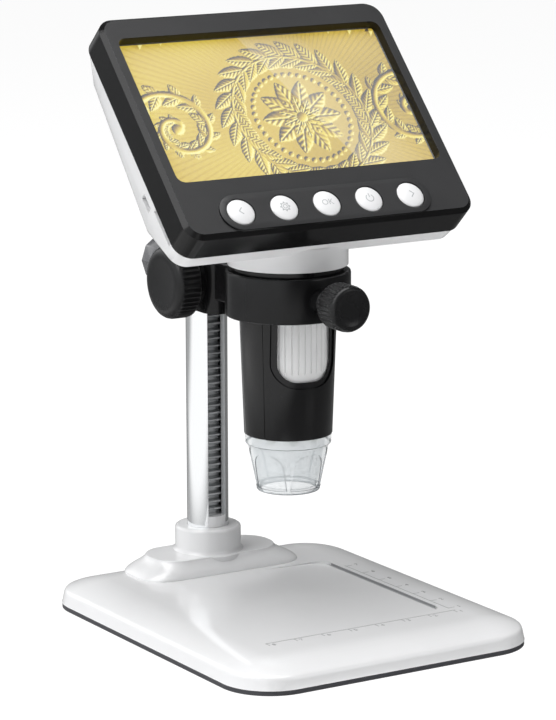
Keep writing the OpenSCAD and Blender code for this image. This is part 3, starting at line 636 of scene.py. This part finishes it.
class MICROSCOPE_OT_column(bpy.types.Operator):
    """Builds the slotted chrome column"""
    bl_idname = "microscope.column"
    bl_label = "Column"

    def execute(self, context):
        s = sizes("stand")
        r, inner = s.column_radius, s.column_radius - 1.6
        half = math.degrees(math.asin(s.slot_width / 2 / r))
        tube = lathe([(r, 9), (r, 181.7), (r - 0.3, 182), (inner, 182), (inner, 9)], 120,
                     start=-90 + half, sweep=360 - 2 * half)
        # cut faces and the inside of the tube take the rack's matt metal in place of the chrome
        for face in tube.faces:
            face.material_index = int(math.hypot(*face.calc_center_median()[:2]) < r - 0.2)
        column = show(tube, "chrome_column", "stand", "tube_chrome", ["column_tube"],
                      at=Matrix.Translation((0, s.column_y, 0)), smooth=30)
        column.data.materials.append(bpy.data.materials["rack_metal"])
        paint("rack_metal", "column_rack")
        paint("foot_gloss_white", "slot_plug")
        cap = lathe([(0, 182), (6.9, 182), (6.9, 183.9), (6.7, 184.5), (6.2, 184.9), (5.6, 185), (0, 185)],
                    72,
                    closed=False)
        show(cap, "column_top_cap", "stand", "cap_black", ["column_cap"],
             at=Matrix.Translation((0, s.column_y, 0)))
        return {"FINISHED"}


class MICROSCOPE_OT_carriage(bpy.types.Operator):
    """Builds the carriage and its clamp ring"""
    bl_idname = "microscope.carriage"
    bl_label = "Carriage"

    def execute(self, context):
        block = merged_copy("carriage_body")
        carriage = show(block, "carriage_block", "carriage", "ring_gloss_black",
                        ["carriage_body"],
                        smooth=28)
        round_edges(carriage, 0.4, 3, 34)
        ring = lathe([(19.7, 102), (20, 102.3), (20, 115.55), (19.85, 116.05), (19.45, 116.35),
                      (19.0, 116.35),
                      (18.75, 116.1), (16.1, 112.9), (16.1, 102)], 144)
        arm = soften(slab(17, 15, 13, 0, at=(0, 24.2, 102)), 0.8, 4)
        boss = lathe([(0, -1), (4.2, -1), (4.2, 3.4), (3.9, 3.8), (2.1, 3.8), (2.1, 1.5), (0, 1.5)], 48,
                     closed=False)
        place(boss, Matrix.Translation((0, -20.0, CLAMP_HEIGHT)) @ TO_FRONT)
        show(joined(ring, arm, boss), "clamp_ring", "carriage", "ring_gloss_black",
             ["ring_clamp"],
             smooth=32)
        paint("screw_steel", "arm_screws")
        paint("nylon", "friction_pad")
        return {"FINISHED"}


class MICROSCOPE_OT_knobs(bpy.types.Operator):
    """Builds the focus knob, the clamp knob and the tension knob"""
    bl_idname = "microscope.knobs"
    bl_label = "Knobs"

    def execute(self, context):
        n = sizes("stand").knob_ridges
        # big focus knob: local z runs to the right, its face is at z = 0
        knob = lathe([(0, 0.55), (4, 0.4), (7.4, 0.12), (8.6, 0.0), (9.6, 0.12), (10.6, 0.55), (11.3, 1.15),
                      (11.75, 1.9), (11.95, 2.6), (12.0, 3.2), (12.0, 5.0), (12.0, 7.4), (11.8, 8.1),
                      (11.3, 8.5),
                      (6.2, 8.6), (6, 9.5), (1.55, 9.5)], n * 6, closed=False)
        fluted(knob, n, 0.55, 2.4, 7.6, 0.8)
        show(knob, "focus_knob_grip", "focus_drive", "knob_satin_black", ["focus_knob"],
             at=Matrix.Translation((-21.6, SHAFT_Y, SHAFT_HEIGHT)) @ ALONG_X, smooth=50)
        # clamp knob: local z runs to the user
        ridges = 34
        grip = lathe([(2.05, 0), (5.2, 0), (5.2, 1.2), (6.4, 1.5), (7.1, 2.0), (7.3, 2.6), (7.4, 3.2),
                      (7.4, 6.0),
                      (7.4, 8.6), (7.25, 9.6), (6.9, 10.4), (6.3, 10.85), (5.7, 10.95), (5.1, 10.8),
                      (4.4, 10.5),
                      (3, 10.35), (0, 10.3)], ridges * 6, closed=False)
        fluted(grip, ridges, 0.45, 2.5, 9.0, 0.8)
        show(grip, "clamp_knob_grip", "clamp_lock", "knob_satin_black", ["clamp_knob"],
             at=Matrix.Translation((0, -26.4, CLAMP_HEIGHT)) @ TO_FRONT, smooth=50)
        # rear tension knob: ten flat sides
        facets = lathe([(0, 0), (5.4, 0), (5.4, 2), (8.6, 2), (8.6, 10), (5.6, 10), (5.6, 10.8),
                        (0, 10.8)], 10,
                       closed=False)
        soften(facets, 0.45, 3, 20)
        show(facets, "tension_knob_grip", "tension_lock", "tension_gloss_grey", ["tension_knob"],
             at=Matrix.Translation(TENSION_KNOB_AT) @ TO_BACK, smooth=25)
        end = lathe([(0, 0), (5, 0), (5, 2.3), (4.8, 2.8), (4.2, 3.2), (0, 3.2)], 64, closed=False)
        show(end, "shaft_cap", "focus_drive", "cap_black", ["shaft_end_cap"],
             at=Matrix.Translation((9.9, SHAFT_Y, SHAFT_HEIGHT)) @ ALONG_X)
        paint("screw_steel", "focus_shaft", "tension_screw", "clamp_screw")
        paint("gear_brass", "pinion")
        return {"FINISHED"}


# ------------------------------------------------------------------ barrel
def window_tool(width, low, radius, turn):
    """Cutter for the wheel's window, from a height up past the cover's top."""
    high = 110
    tool = slab(width, high - low, 12, radius, 10)
    return place(tool, Matrix.Rotation(math.radians(turn), 4, "Z")
                 @ Matrix.Translation((0, -9, (high + low) / 2)) @ TO_FRONT)


class MICROSCOPE_OT_barrel(bpy.types.Operator):
    """Builds the barrel, its cover with the window, the focus wheel and the clear tip"""
    bl_idname = "microscope.barrel"
    bl_label = "Barrel"

    def execute(self, context):
        s = sizes("barrel")
        turn = s.window_turn
        wall = [(14.0, 63.5), (14.12, 63.7), (15.5, 101.35), (13.9, 101.35), (13.9, 80.3), (12.55, 80.3),
                (12.55, 63.5)]
        centre = -90 + turn
        front = lathe(wall, 64, start=centre - SEAM + 0.45, sweep=2 * SEAM - 0.9)
        frame_cut = combine(window_tool(s.window_width + 4, 80.3, 8.3, turn),
                            lathe([(0, 60), (13.52, 60), (15.05, 103), (0, 103)], 96, closed=False))
        front = combine(front, frame_cut)
        front = combine(front, window_tool(s.window_width, 82.3, 6.2, turn))
        cover = show(front, "barrel_front_cover", "microscope", "barrel_gloss_black",
                     ["barrel_front"],
                     smooth=30)
        round_edges(cover, 0.22, 3, 40)
        rear = lathe(wall, 110, start=centre + SEAM, sweep=360 - 2 * SEAM)
        collar = lathe([(12.5, 101.4), (16.0, 101.4), (16.0, 113.0), (17.7, 115.05), (17.7, 118.2),
                        (12.5, 118.2)], 96)
        back = show(joined(rear, collar), "barrel_rear_shell", "microscope", "barrel_gloss_black",
                    ["barrel_rear"], smooth=30)
        round_edges(back, 0.18, 2, 50)
        # focus wheel: flat ribs over a plain lower band
        n = s.wheel_ribs
        wheel = lathe([(11.2, 80.6), (13.2, 80.6), (13.5, 81.0), (13.5, 84.7), (13.6, 85.2), (13.6, 92),
                       (13.6, 101.0),
                       (11.2, 101.0)], n * 10)
        for v in wheel.verts:
            r = math.hypot(v.co.x, v.co.y)
            if r > 12.5 and v.co.z > 85.1:
                step = (n * (math.atan2(v.co.y, v.co.x) / (2 * math.pi))) % 1.0
                cut = 0.45 if step < 0.15 else 0.0
                v.co.x, v.co.y = v.co.x * (1 - cut / r), v.co.y * (1 - cut / r)
        show(wheel, "focus_wheel_ribs", "focus_ring", "wheel_white", ["focus_wheel"],
             smooth=24)
        # clear tip: flange, cup with arched thin panels, and an inner lip
        cup = lathe([(12.45, 65.0), (12.45, 63.5), (13.9, 63.5), (13.88, 63.2), (13.72, 60.55), (13.5, 60.3),
                     (13.05, 60.2), (12.95, 59.8), (10.15, 45.3), (9.9, 45.0), (8.7, 45.0), (8.6, 45.2),
                     (8.6, 46.3),
                     (8.8, 46.6), (9.12, 46.8), (11.55, 59.9), (11.6, 60.2), (11.6, 65.0)], 120)
        for i in range(s.tip_panels):
            angle = 360 / s.tip_panels * (i + 0.5) - 121.7
            arch = slab(11.0, 30, 20, 4.2, 8)
            place(arch, Matrix.Rotation(math.radians(angle + 90), 4, "Z")
                  @ Matrix.Translation((0, -5, 43.0)) @ TO_FRONT)
            layer = lathe([(9.87, 46.2), (14.0, 46.2), (14.0, 58.6), (12.27, 58.6)], 24, angle - 34, 68)
            cup = combine(cup, combine(layer, arch, "INTERSECT"))
        soften(cup, 0.28, 1, 40,
               lambda e: all(46.3 < v.co.z < 58.8 and math.hypot(v.co.x, v.co.y) > 9.3 for v in e.verts))
        cup.normal_update()
        # faces that don't face straight in or out, such as the panels' cut edges, rims and steps, take the
        # dark tip_clear_edge: painted shade on the tip's edges
        for face in cup.faces:
            middle = face.calc_center_median()
            outward = Vector((middle.x, middle.y, 0)).normalized()
            face.material_index = int(abs(face.normal.dot(outward)) < 0.93)
        tip = show(cup, "clear_tip_cup", "microscope", "tip_clear", ["clear_tip"], smooth=32)
        tip.data.materials.append(bpy.data.materials["tip_clear_edge"])
        for finish, node in (("board_white", "led_board"), ("lamp_epoxy", "led_lamps"),
                             ("lens_black", "lens_carrier"),
                             ("lens_coated", "objective_lens"), ("board_green", "sensor_board"),
                             ("chip_black", "image_sensor"), ("screw_steel", "collar_screws")):
            paint(finish, node)
        return {"FINISHED"}


# ------------------------------------------------------------------ head
def face_slab(inset, low, high):
    """Block of the head's outline, drawn in by inset, between two depths."""
    h = sizes("head")
    return slab(h.width - 2 * inset, h.above + h.below - 2 * inset, high - low, HEAD_CORNER - inset, 10,
                at=(0, (h.above - h.below) / 2, low))


def key_place(i):
    """Where a key stands on the head, counted from the left."""
    return Matrix.Translation((KEY_ROW[0] + (i - 2) * sizes("head").key_pitch, KEY_ROW[1], 0))


class MICROSCOPE_OT_bezel(bpy.types.Operator):
    """Builds the bezel with its screen opening and key panel"""
    bl_idname = "microscope.bezel"
    bl_label = "Bezel"

    def execute(self, context):
        h = sizes("head")
        body = face_slab(0, -h.depth, 0)
        rim = [e for e in body.edges if all(v.co.z > -0.01 for v in e.verts)]
        bmesh.ops.bevel(body, geom=rim, offset=1.4, segments=1, profile=0.5, affect="EDGES",
                        clamp_overlap=True,
                        material=-1)
        body = combine(body, face_slab(2, -h.depth - 1, -3.2))
        wide, tall = h.screen_width, h.screen_height
        opening = slab(wide, tall, 20, 2.5, 6, at=(0, 0, -10))
        flare = slab(wide + 1.2, tall + 1.2, 3, 3.1, 6, at=(0, 0, -0.6))
        low = [v for v in flare.verts if v.co.z < 0]
        bmesh.ops.scale(flare, verts=low, vec=(wide / (wide + 1.2), tall / (tall + 1.2), 1))
        body = combine(combine(body, opening), flare)
        pill = slab(4.08 * h.key_pitch + 13.2, 13.2, 1.5, 6.59, 14, at=(*KEY_ROW, -0.8))
        soften(pill, 0.35, 2, 60, lambda e: all(v.co.z > 0.6 for v in e.verts))
        body = combine(body, pill, "UNION")
        for i in range(5):
            hole = lathe([(0, -20), (h.key_radius + 0.16, -20), (h.key_radius + 0.16, 10), (0, 10)], 64,
                         closed=False)
            body = combine(body, place(hole, key_place(i)))
        # faces not turned to the front (sides, chamfer, opening and key-hole walls) take the darker side
        # finish: painted shade
        for face in body.faces:
            face.material_index = int(face.normal.z < 0.8)
        bezel = show(body, "bezel_frame", "microscope", "bezel_satin_charcoal",
                     ["front_bezel"],
                     at=HEAD, smooth=30)
        bezel.data.materials.append(bpy.data.materials["bezel_gloss_side"])
        round_edges(bezel, 0.25, 3, 40)
        return {"FINISHED"}


class MICROSCOPE_OT_shell(bpy.types.Operator):
    """Builds the white rear shell and dresses the pieces inside it"""
    bl_idname = "microscope.shell"
    bl_label = "Rear shell"

    def execute(self, context):
        shell = show(merged_copy("rear_shell"), "rear_housing", "microscope", "shell_gloss_white",
                     ["rear_shell"], smooth=32)
        round_edges(shell, 0.3, 3, 42)
        paint("board_green", "main_board", "button_board")
        paint("chip_black", "board_chips", "lcd_panel")
        paint("cell_wrap", "battery_pack")
        paint("screw_steel", "usb_socket", "card_socket", "dome_switches", "shell_screws")
        paint("screen_cover", "screen_glass")
        return {"FINISHED"}


def leaf(x, y, at, turn, length, width, rise, veins=7):
    """Height of one leaf on the picture's grid."""
    c, s = math.cos(math.radians(turn)), math.sin(math.radians(turn))
    u, v = (x - at[0]) * c + (y - at[1]) * s, -(x - at[0]) * s + (y - at[1]) * c
    t = np.clip(u / length, 0, 1)
    half = width * np.sin(np.pi * t ** 0.8) ** 0.75 + 1e-6
    inside = (u > 0) & (u < length) & (np.abs(v) < half)
    shape = rise * np.sqrt(np.clip(1 - (v / half) ** 2, 0, 1))
    shape = shape - 0.30 * rise * np.exp(-(v / (0.10 * width)) ** 2)
    shape = shape + 0.10 * rise * np.cos(2 * np.pi * (u / length * veins - np.abs(v) / width * 1.5))
    return np.where(inside, shape, 0)


def bead(x, y, at, radius, rise):
    """Height of one round bead."""
    q = ((x - at[0]) ** 2 + (y - at[1]) ** 2) / radius ** 2
    return np.where(q < 1, rise * np.sqrt(np.clip(1 - q, 0, 1)), 0)


def stem(x, y, points, width, rise):
    """Height of a round stem that follows a line of points."""
    best = np.full(x.shape, 1e9)
    for (ax, ay), (bx, by) in zip(points, points[1:]):
        dx, dy = bx - ax, by - ay
        t = np.clip(((x - ax) * dx + (y - ay) * dy) / (dx * dx + dy * dy + 1e-9), 0, 1)
        best = np.minimum(best, (x - ax - t * dx) ** 2 + (y - ay - t * dy) ** 2)
    return np.where(best < width ** 2, rise * np.sqrt(np.clip(1 - best / width ** 2, 0, 1)), 0)


def scroll(cx, cy, r0, r1, a0, a1, n):
    """Points of a spiral whose radius and angle run evenly from first to last."""
    points = []
    for i in range(n + 1):
        r, a = r0 + (r1 - r0) * i / n, math.radians(a0 + (a1 - a0) * i / n)
        points.append((cx + r * math.cos(a), cy + r * math.sin(a)))
    return points


def relief(x, y):
    """A made-up struck-metal ornament: a flower in a leaf wreath between two leafy scrolls."""
    z = np.zeros(x.shape)

    def add(part):
        nonlocal z
        z = np.maximum(z, part)

    cx, cy = 6.0, -3.5
    leaves, petals, curl_steps = 26, 10, 110
    for k in range(leaves):
        a = 360 / leaves * k
        px, py = cx + 18.5 * math.cos(math.radians(a)), cy + 18.5 * math.sin(math.radians(a))
        add(leaf(x, y, (px, py), a + 62, 7.6, 1.7, 1.0))
        add(leaf(x, y, (px, py), a + 128, 6.8, 1.6, 0.85))
    add(stem(x, y, scroll(cx, cy, 18.4, 18.4, 0, 360, 90), 0.5, 0.9))
    for k in range(40):
        a = math.radians(9 * k)
        add(bead(x, y, (cx + 12.9 * math.cos(a), cy + 12.9 * math.sin(a)), 0.72, 0.7))
    for k in range(petals):
        a = math.radians(36 * k)
        add(leaf(x, y, (cx + 2.0 * math.cos(a), cy + 2.0 * math.sin(a)), 36 * k, 9.2, 2.5, 1.25, 5))
        add(leaf(x, y, (cx, cy), 36 * k + 18, 6.3, 1.7, 1.5, 4))
    add(bead(x, y, (cx, cy), 2.1, 1.9))
    for side, ox in ((-1, -29.0), (1, 38.0)):
        turn = 0 if side < 0 else 180
        curl = scroll(ox, -4.0, 1.2, 13.5, turn + 30, turn + 30 + side * -560, curl_steps)
        add(stem(x, y, curl, 0.95, 1.3))
        for k in range(12, curl_steps - 2, 6):
            px, py = curl[k]
            ang = math.degrees(math.atan2(curl[k + 1][1] - py, curl[k + 1][0] - px))
            size = 2.4 + 4.6 * k / (curl_steps - 2)
            add(leaf(x, y, (px, py), ang - side * 48, size, size * 0.26, 1.0, 5))
            add(leaf(x, y, (px, py), ang + side * 42, size * 0.75, size * 0.22, 0.8, 4))
        add(bead(x, y, (ox, -4.0), 1.7, 1.5))
    for k in range(15):
        px = -42 + 6 * k
        py = 23.5 - 0.0022 * px * px
        q = np.abs(x - px) / 1.2 + np.abs(y - py) / 1.6
        add(np.where(q < 1, 0.9 * (1 - q), 0))
    return z


# colours of the lit gold, from its deepest shade to a highlight: level, red, green, blue
GOLD = np.array([(0.0, 0.004, 0.001, 0.0), (0.25, 0.07, 0.038, 0.0), (0.50, 0.28, 0.17, 0.002),
                 (0.74, 0.62, 0.43, 0.02), (1.0, 0.84, 0.70, 0.08), (1.15, 0.95, 0.86, 0.32)])
# painted reflection of the cover glass in the picture: a point on its sharp edge, the edge's normal, and its
# width
GLARE_AT, GLARE_SIDE, GLARE_WIDE = (-3.0, 28.0), (0.90, -0.433), 21.0
# tone of the painted reflection
GLARE_TONE = np.array([0.86, 0.80, 0.66])
PICTURE_SIZE, PICTURE_CELLS = (97.0, 55.6), (388, 222)
PICTURE_BACK = 4.195             # how far the lit face lies behind the bezel's face
ORNAMENT_SCALE = 1.30


def picture_colours(x, y):
    """Colour of the picture at each point: the ornament lit from its upper left, fine rays and a painted
    reflection of the cover glass.
    """
    step = 0.11

    def height(dx, dy):
        return relief((x + dx) / ORNAMENT_SCALE, (y + dy) / ORNAMENT_SCALE)

    z = height(0, 0)
    gx = (height(step, 0) - height(-step, 0)) / (2 * step)
    gy = (height(0, step) - height(0, -step)) / (2 * step)
    angle, reach = np.arctan2(y + 4.5, x - 8), np.hypot(x - 8, y + 4.5)
    rays = 0.13 * np.clip((reach - 27) / 6, 0, 1) * (z < 0.02) * np.clip(np.sin(angle * 150) - 0.35, 0, 1)
    cloud = 0.05 * np.sin(x * 0.11 + 0.6) * np.cos(y * 0.13 - 0.4)
    cloud = cloud + 0.02 * np.sin(x * 2.1 + 1.7 * np.sin(y * 1.3)) * np.sin(y * 2.7)
    lit = 0.75 - 0.0017 * x + 0.60 * np.tanh(1.5 * (-gx * 0.75 + gy * 0.9)) + 0.05 * z + cloud - rays
    steep = np.clip(np.hypot(gx, gy) - 0.8, 0, 1.6)
    lit = np.clip(lit - 0.22 * steep - 0.10 * (z > 0.05), 0, 1.15)
    rgb = np.stack([np.interp(lit, GOLD[:, 0], GOLD[:, c]) for c in (1, 2, 3)], axis=1)
    # painted reflection: a pale band of the cover glass's glare, mixed into the lit colours
    across = (x - GLARE_AT[0]) * GLARE_SIDE[0] - (y - GLARE_AT[1]) * GLARE_SIDE[1]
    painted_glare = 0.20 * (across > 0) * np.clip(1 - across / GLARE_WIDE, 0, 1) ** 0.6
    rgb = rgb + (GLARE_TONE - rgb) * painted_glare[:, None]
    return np.concatenate([rgb, np.ones((len(x), 1))], axis=1)


class MICROSCOPE_OT_screen(bpy.types.Operator):
    """Builds the lit picture behind the cover glass"""
    bl_idname = "microscope.screen"
    bl_label = "Screen"

    def execute(self, context):
        bm = bmesh.new()
        bmesh.ops.create_grid(bm, x_segments=PICTURE_CELLS[0], y_segments=PICTURE_CELLS[1], size=0.5)
        bmesh.ops.scale(bm, vec=(*PICTURE_SIZE, 1), verts=bm.verts)
        bm.verts.ensure_lookup_table()
        flat = np.array([v.co[:2] for v in bm.verts])
        rgba = picture_colours(flat[:, 0], flat[:, 1])
        picture = show(bm, "screen_picture", "microscope", "screen_lit",
                       at=HEAD @ Matrix.Translation((0, 0, -PICTURE_BACK)))
        layer = picture.data.color_attributes.new("picture", "FLOAT_COLOR", "POINT")
        layer.data.foreach_set("color", rgba.astype(np.float32).ravel())
        return {"FINISHED"}


KEYS = ("left", "gear", "ok", "power", "right")
SIGN_THICK = 0.06
KEY_CROWN = 1.28                 # how far a key's middle stands out of the panel


def bar(w, h, at, turn=0.0):
    """Straight stroke of a key's sign."""
    stroke = slab(w, h, SIGN_THICK, min(w, h) * 0.45, 4)
    return place(stroke, Matrix.Translation((*at, 0)) @ Matrix.Rotation(math.radians(turn), 4, "Z"))


def band(r0, r1, start=0.0, sweep=360.0):
    """Round stroke of a key's sign."""
    return lathe([(r0, 0), (r1, 0), (r1, SIGN_THICK), (r0, SIGN_THICK)], 40, start, sweep)


def key_mark(kind):
    """The sign on a key: an arrow, a cog, two letters or a power sign."""
    if kind in ("left", "right"):
        side = -1 if kind == "left" else 1
        return joined(*(bar(1.9, 0.34, (0.35 * side, 0.55 * half), -45 * side * half) for half in (1, -1)))
    if kind == "gear":
        teeth = []
        for turn in range(0, 360, 45):
            a = math.radians(turn)
            teeth.append(bar(0.55, 0.5, (1.55 * math.cos(a), 1.55 * math.sin(a)), turn))
        return joined(band(0.55, 0.8), band(1.15, 1.4), *teeth)
    if kind == "ok":
        return lettering("OK", 2.9, (0, 0, 0.03))
    return joined(band(1.15, 1.45, 125, 290), bar(0.32, 1.5, (0, 1.0)))


class MICROSCOPE_OT_keys(bpy.types.Operator):
    """Builds the five round keys and their marks"""
    bl_idname = "microscope.keys"
    bl_label = "Keys"

    def execute(self, context):
        r = sizes("head").key_radius
        for i, kind in enumerate(KEYS):
            at = HEAD @ key_place(i)
            cap = lathe([(0, KEY_CROWN), (1.2, 1.25), (2.4, 1.14), (3.3, 0.98), (4.0, 0.80), (4.35, 0.66),
                         (4.6, 0.46),
                         (r, 0.2), (r, -3.3), (r + 0.75, -3.3), (r + 0.75, -3.88), (0, -3.88)], 72,
                        closed=False)
            body = "key_" + kind
            show(cap, "keycap_" + kind, body, "key_satin_white", ["button_" + kind], at=at,
                 smooth=40)
            mark = key_mark(kind)
            for v in mark.verts:
                v.co.z += KEY_CROWN - (v.co.x ** 2 + v.co.y ** 2) / 36 - 0.035
            show(mark, "keymark_" + kind, body, "mark_grey", at=at)
        return {"FINISHED"}


# ------------------------------------------------------------------ stage
# bright parts of the studio: direction, cosine where each begins and is full, strength
STUDIO_PANELS = (
    ((-0.996, -0.087, 0.14), 0.45, 0.80, 1.35),
    ((-0.342, 0.940, 0.10), 0.85, 0.97, 0.70),
    ((0.72, -0.69, 0.20), 0.80, 0.95, 0.12),
    ((0.0, 0.0, 1.0), 0.82, 0.97, 0.60),
)


LAMPS = (                        # name, place, size in metres, power in watts
    ("key", (-0.95, -0.05, 0.95), 0.7, 5.0),
    ("fill", (0.55, -1.05, 0.60), 0.5, 1.6),
    ("top", (-0.12, -0.02, 1.35), 1.2, 20),
    ("back", (-0.35, 1.0, 0.6), 0.7, 1.5),
)
LAMPS_AIM = (0, 0, 0.11)
CAMERA_AT = (-0.5558, -0.89261, 0.30649)
CAMERA_TURN, CAMERA_RISE, CAMERA_ROLL = -31.734, 11.796, -0.16      # degrees
FOCAL_PIXELS, PHOTO_TALL_PIXELS, SENSOR = 3376.87, 720, 36


def soft_lamp(name, where, size, power):
    data = bpy.data.lights.new(name, "AREA")
    data.shape, data.size, data.size_y, data.energy = "RECTANGLE", size, size, power
    lamp = bpy.data.objects.new(name, data)
    lamp.location = where
    lamp.rotation_euler = (Vector(LAMPS_AIM) - Vector(where)).to_track_quat("-Z", "Y").to_euler()
    bpy.context.scene.collection.objects.link(lamp)


def rising(tree, value, near, full, height=1.0):
    """Goes smoothly from nothing at near to height at full."""
    ramp = tree.nodes.new("ShaderNodeMapRange")
    ramp.interpolation_type = "SMOOTHSTEP"
    for label, number in (("From Min", near), ("From Max", full), ("To Min", 0), ("To Max", height)):
        ramp.inputs[label].default_value = number
    wire(tree, (value, ramp.inputs["Value"]))
    return ramp.outputs["Result"]


def make_studio(scene):
    """White backdrop for the camera, and dim walls with bright panels for everything else."""
    world = bpy.data.worlds.new("studio")
    scene.world = world
    world.use_nodes = True
    tree = world.node_tree
    white, studio = tree.nodes["Background"], tree.nodes.new("ShaderNodeBackground")
    path, mix = tree.nodes.new("ShaderNodeLightPath"), tree.nodes.new("ShaderNodeMixShader")
    white.inputs["Color"].default_value, white.inputs["Strength"].default_value = (1, 1, 1, 1), 1.0
    studio.inputs["Color"].default_value = (0.97, 0.985, 1, 1)
    where = tree.nodes.new("ShaderNodeTexCoord")
    level = 0.12
    for direction, near, full, strength in STUDIO_PANELS:
        facing = tree.nodes.new("ShaderNodeVectorMath")
        facing.operation = "DOT_PRODUCT"
        facing.inputs[1].default_value = Vector(direction).normalized()
        wire(tree, (where.outputs["Generated"], facing.inputs[0]))
        level = math_node(tree, "ADD", rising(tree, facing.outputs["Value"], near, full, strength), level)
    # lamps light the matt surfaces, so the panels count less there than in reflections
    share = math_node(tree, "ADD", math_node(tree, "MULTIPLY", path.outputs["Is Glossy Ray"], 0.60), 0.39)
    wire(tree, (math_node(tree, "MULTIPLY", level, share), studio.inputs["Strength"]),
         (path.outputs["Is Camera Ray"], mix.inputs[0]), (studio.outputs[0], mix.inputs[1]),
         (white.outputs[0], mix.inputs[2]), (mix.outputs[0], tree.nodes["World Output"].inputs["Surface"]))


def make_floor(scene):
    """Pale floor that keeps the shadow, and is dark in reflections but for a bright board at the left."""
    bm = bmesh.new()
    bmesh.ops.create_grid(bm, x_segments=1, y_segments=1, size=6)
    mesh = bpy.data.meshes.new("floor")
    bm.to_mesh(mesh)
    bm.free()
    ground = bpy.data.objects.new("floor", mesh)
    scene.collection.objects.link(ground)
    tree, shader = surface("floor_white")
    shader.inputs["Roughness"].default_value = 0.22
    glow, mixer, path = (tree.nodes.new("ShaderNode" + kind) for kind in ("Emission", "MixShader",
                                                                          "LightPath"))
    glow.inputs["Strength"].default_value = 1.15
    dim = math_node(tree, "SUBTRACT", 0.90, math_node(tree, "MULTIPLY", path.outputs["Is Glossy Ray"], 0.72))
    spot, apart = tree.nodes.new("ShaderNodeTexCoord"), tree.nodes.new("ShaderNodeSeparateXYZ")
    wire(tree, (dim, shader.inputs["Base Color"]), (spot.outputs["Object"], apart.inputs[0]))
    board = path.outputs["Is Glossy Ray"]
    for axis, near, full in (("X", -0.05, -0.16), ("Y", 0.42, 0.20)):
        board = math_node(tree, "MULTIPLY", board, rising(tree, apart.outputs[axis], near, full))
    seen = math_node(tree, "MAXIMUM", path.outputs["Is Camera Ray"],
                     math_node(tree, "MULTIPLY", path.outputs["Is Transmission Ray"], 0.9))
    share = math_node(tree, "MAXIMUM", math_node(tree, "MULTIPLY", seen, 0.80), board)
    wire(tree, (share, mixer.inputs[0]), (shader.outputs[0], mixer.inputs[1]),
         (glow.outputs[0], mixer.inputs[2]),
         (mixer.outputs[0], tree.nodes["Material Output"].inputs["Surface"]))
    mesh.materials.append(bpy.data.materials["floor_white"])


def make_camera(scene):
    """Camera at the photograph's angle, with its perspective."""
    turn, rise, roll = (math.radians(a) for a in (CAMERA_TURN, CAMERA_RISE, CAMERA_ROLL))
    behind = Vector((math.sin(turn) * math.cos(rise), -math.cos(turn) * math.cos(rise), math.sin(rise)))
    right = Vector((math.cos(turn), math.sin(turn), 0))
    up = behind.cross(right)
    pose = Matrix((right, up, behind)).transposed() @ Matrix.Rotation(roll, 3, "Z")
    data = bpy.data.cameras.new("camera")
    data.sensor_width, data.lens = SENSOR, FOCAL_PIXELS / PHOTO_TALL_PIXELS * SENSOR
    data.clip_start, data.clip_end = 0.01, 50
    camera = bpy.data.objects.new("camera", data)
    camera.matrix_world = Matrix.Translation(CAMERA_AT) @ pose.to_4x4()
    scene.collection.objects.link(camera)
    scene.camera = camera


class MICROSCOPE_OT_stage(bpy.types.Operator):
    """Sets up the floor, the lamps and the camera"""
    bl_idname = "microscope.stage"
    bl_label = "Stage"

    def execute(self, context):
        scene = context.scene
        scene.view_settings.view_transform = "Standard"
        make_studio(scene)
        make_floor(scene)
        for lamp in LAMPS:
            soft_lamp(*lamp)
        make_camera(scene)
        return {"FINISHED"}


class MICROSCOPE_PT_panel(bpy.types.Panel):
    """Lists the pieces of the microscope"""
    bl_label = "Microscope"
    bl_idname = "MICROSCOPE_PT_panel"
    bl_space_type = "VIEW_3D"
    bl_region_type = "UI"
    bl_category = "Microscope"

    def draw(self, context):
        for kind in ("stand", "barrel", "head", "finishes"):
            box = self.layout.box()
            for name in sizes(kind).bl_rna.properties.keys():
                if name not in ("rna_type", "name"):
                    box.prop(sizes(kind), name)
        for operator in PIECES:
            self.layout.operator(operator.bl_idname)


PIECES = (MICROSCOPE_OT_finishes, MICROSCOPE_OT_foot, MICROSCOPE_OT_ruler, MICROSCOPE_OT_column,
          MICROSCOPE_OT_carriage, MICROSCOPE_OT_knobs, MICROSCOPE_OT_barrel, MICROSCOPE_OT_bezel,
          MICROSCOPE_OT_shell, MICROSCOPE_OT_screen, MICROSCOPE_OT_keys, MICROSCOPE_OT_stage)
SETTINGS = (("stand", StandSizes), ("barrel", BarrelSizes), ("head", HeadSizes), ("finishes", Finishes))


def register():
    for _, kind in SETTINGS:
        bpy.utils.register_class(kind)
    for kind in (*PIECES, MICROSCOPE_PT_panel):
        bpy.utils.register_class(kind)
    for name, kind in SETTINGS:
        setattr(bpy.types.Scene, "microscope_" + name, PointerProperty(type=kind))


def unregister():
    for name, _ in SETTINGS:
        delattr(bpy.types.Scene, "microscope_" + name)
    for kind in (MICROSCOPE_PT_panel, *reversed(PIECES), *(kind for _, kind in reversed(SETTINGS))):
        bpy.utils.unregister_class(kind)


def main():
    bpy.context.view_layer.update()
    register()
    for operator in PIECES:
        group_name, call = operator.bl_idname.split(".")
        if getattr(getattr(bpy.ops, group_name), call)() != {"FINISHED"}:
            raise RuntimeError(operator.bl_label + " did not finish")


if __name__ == "__main__":
    main()
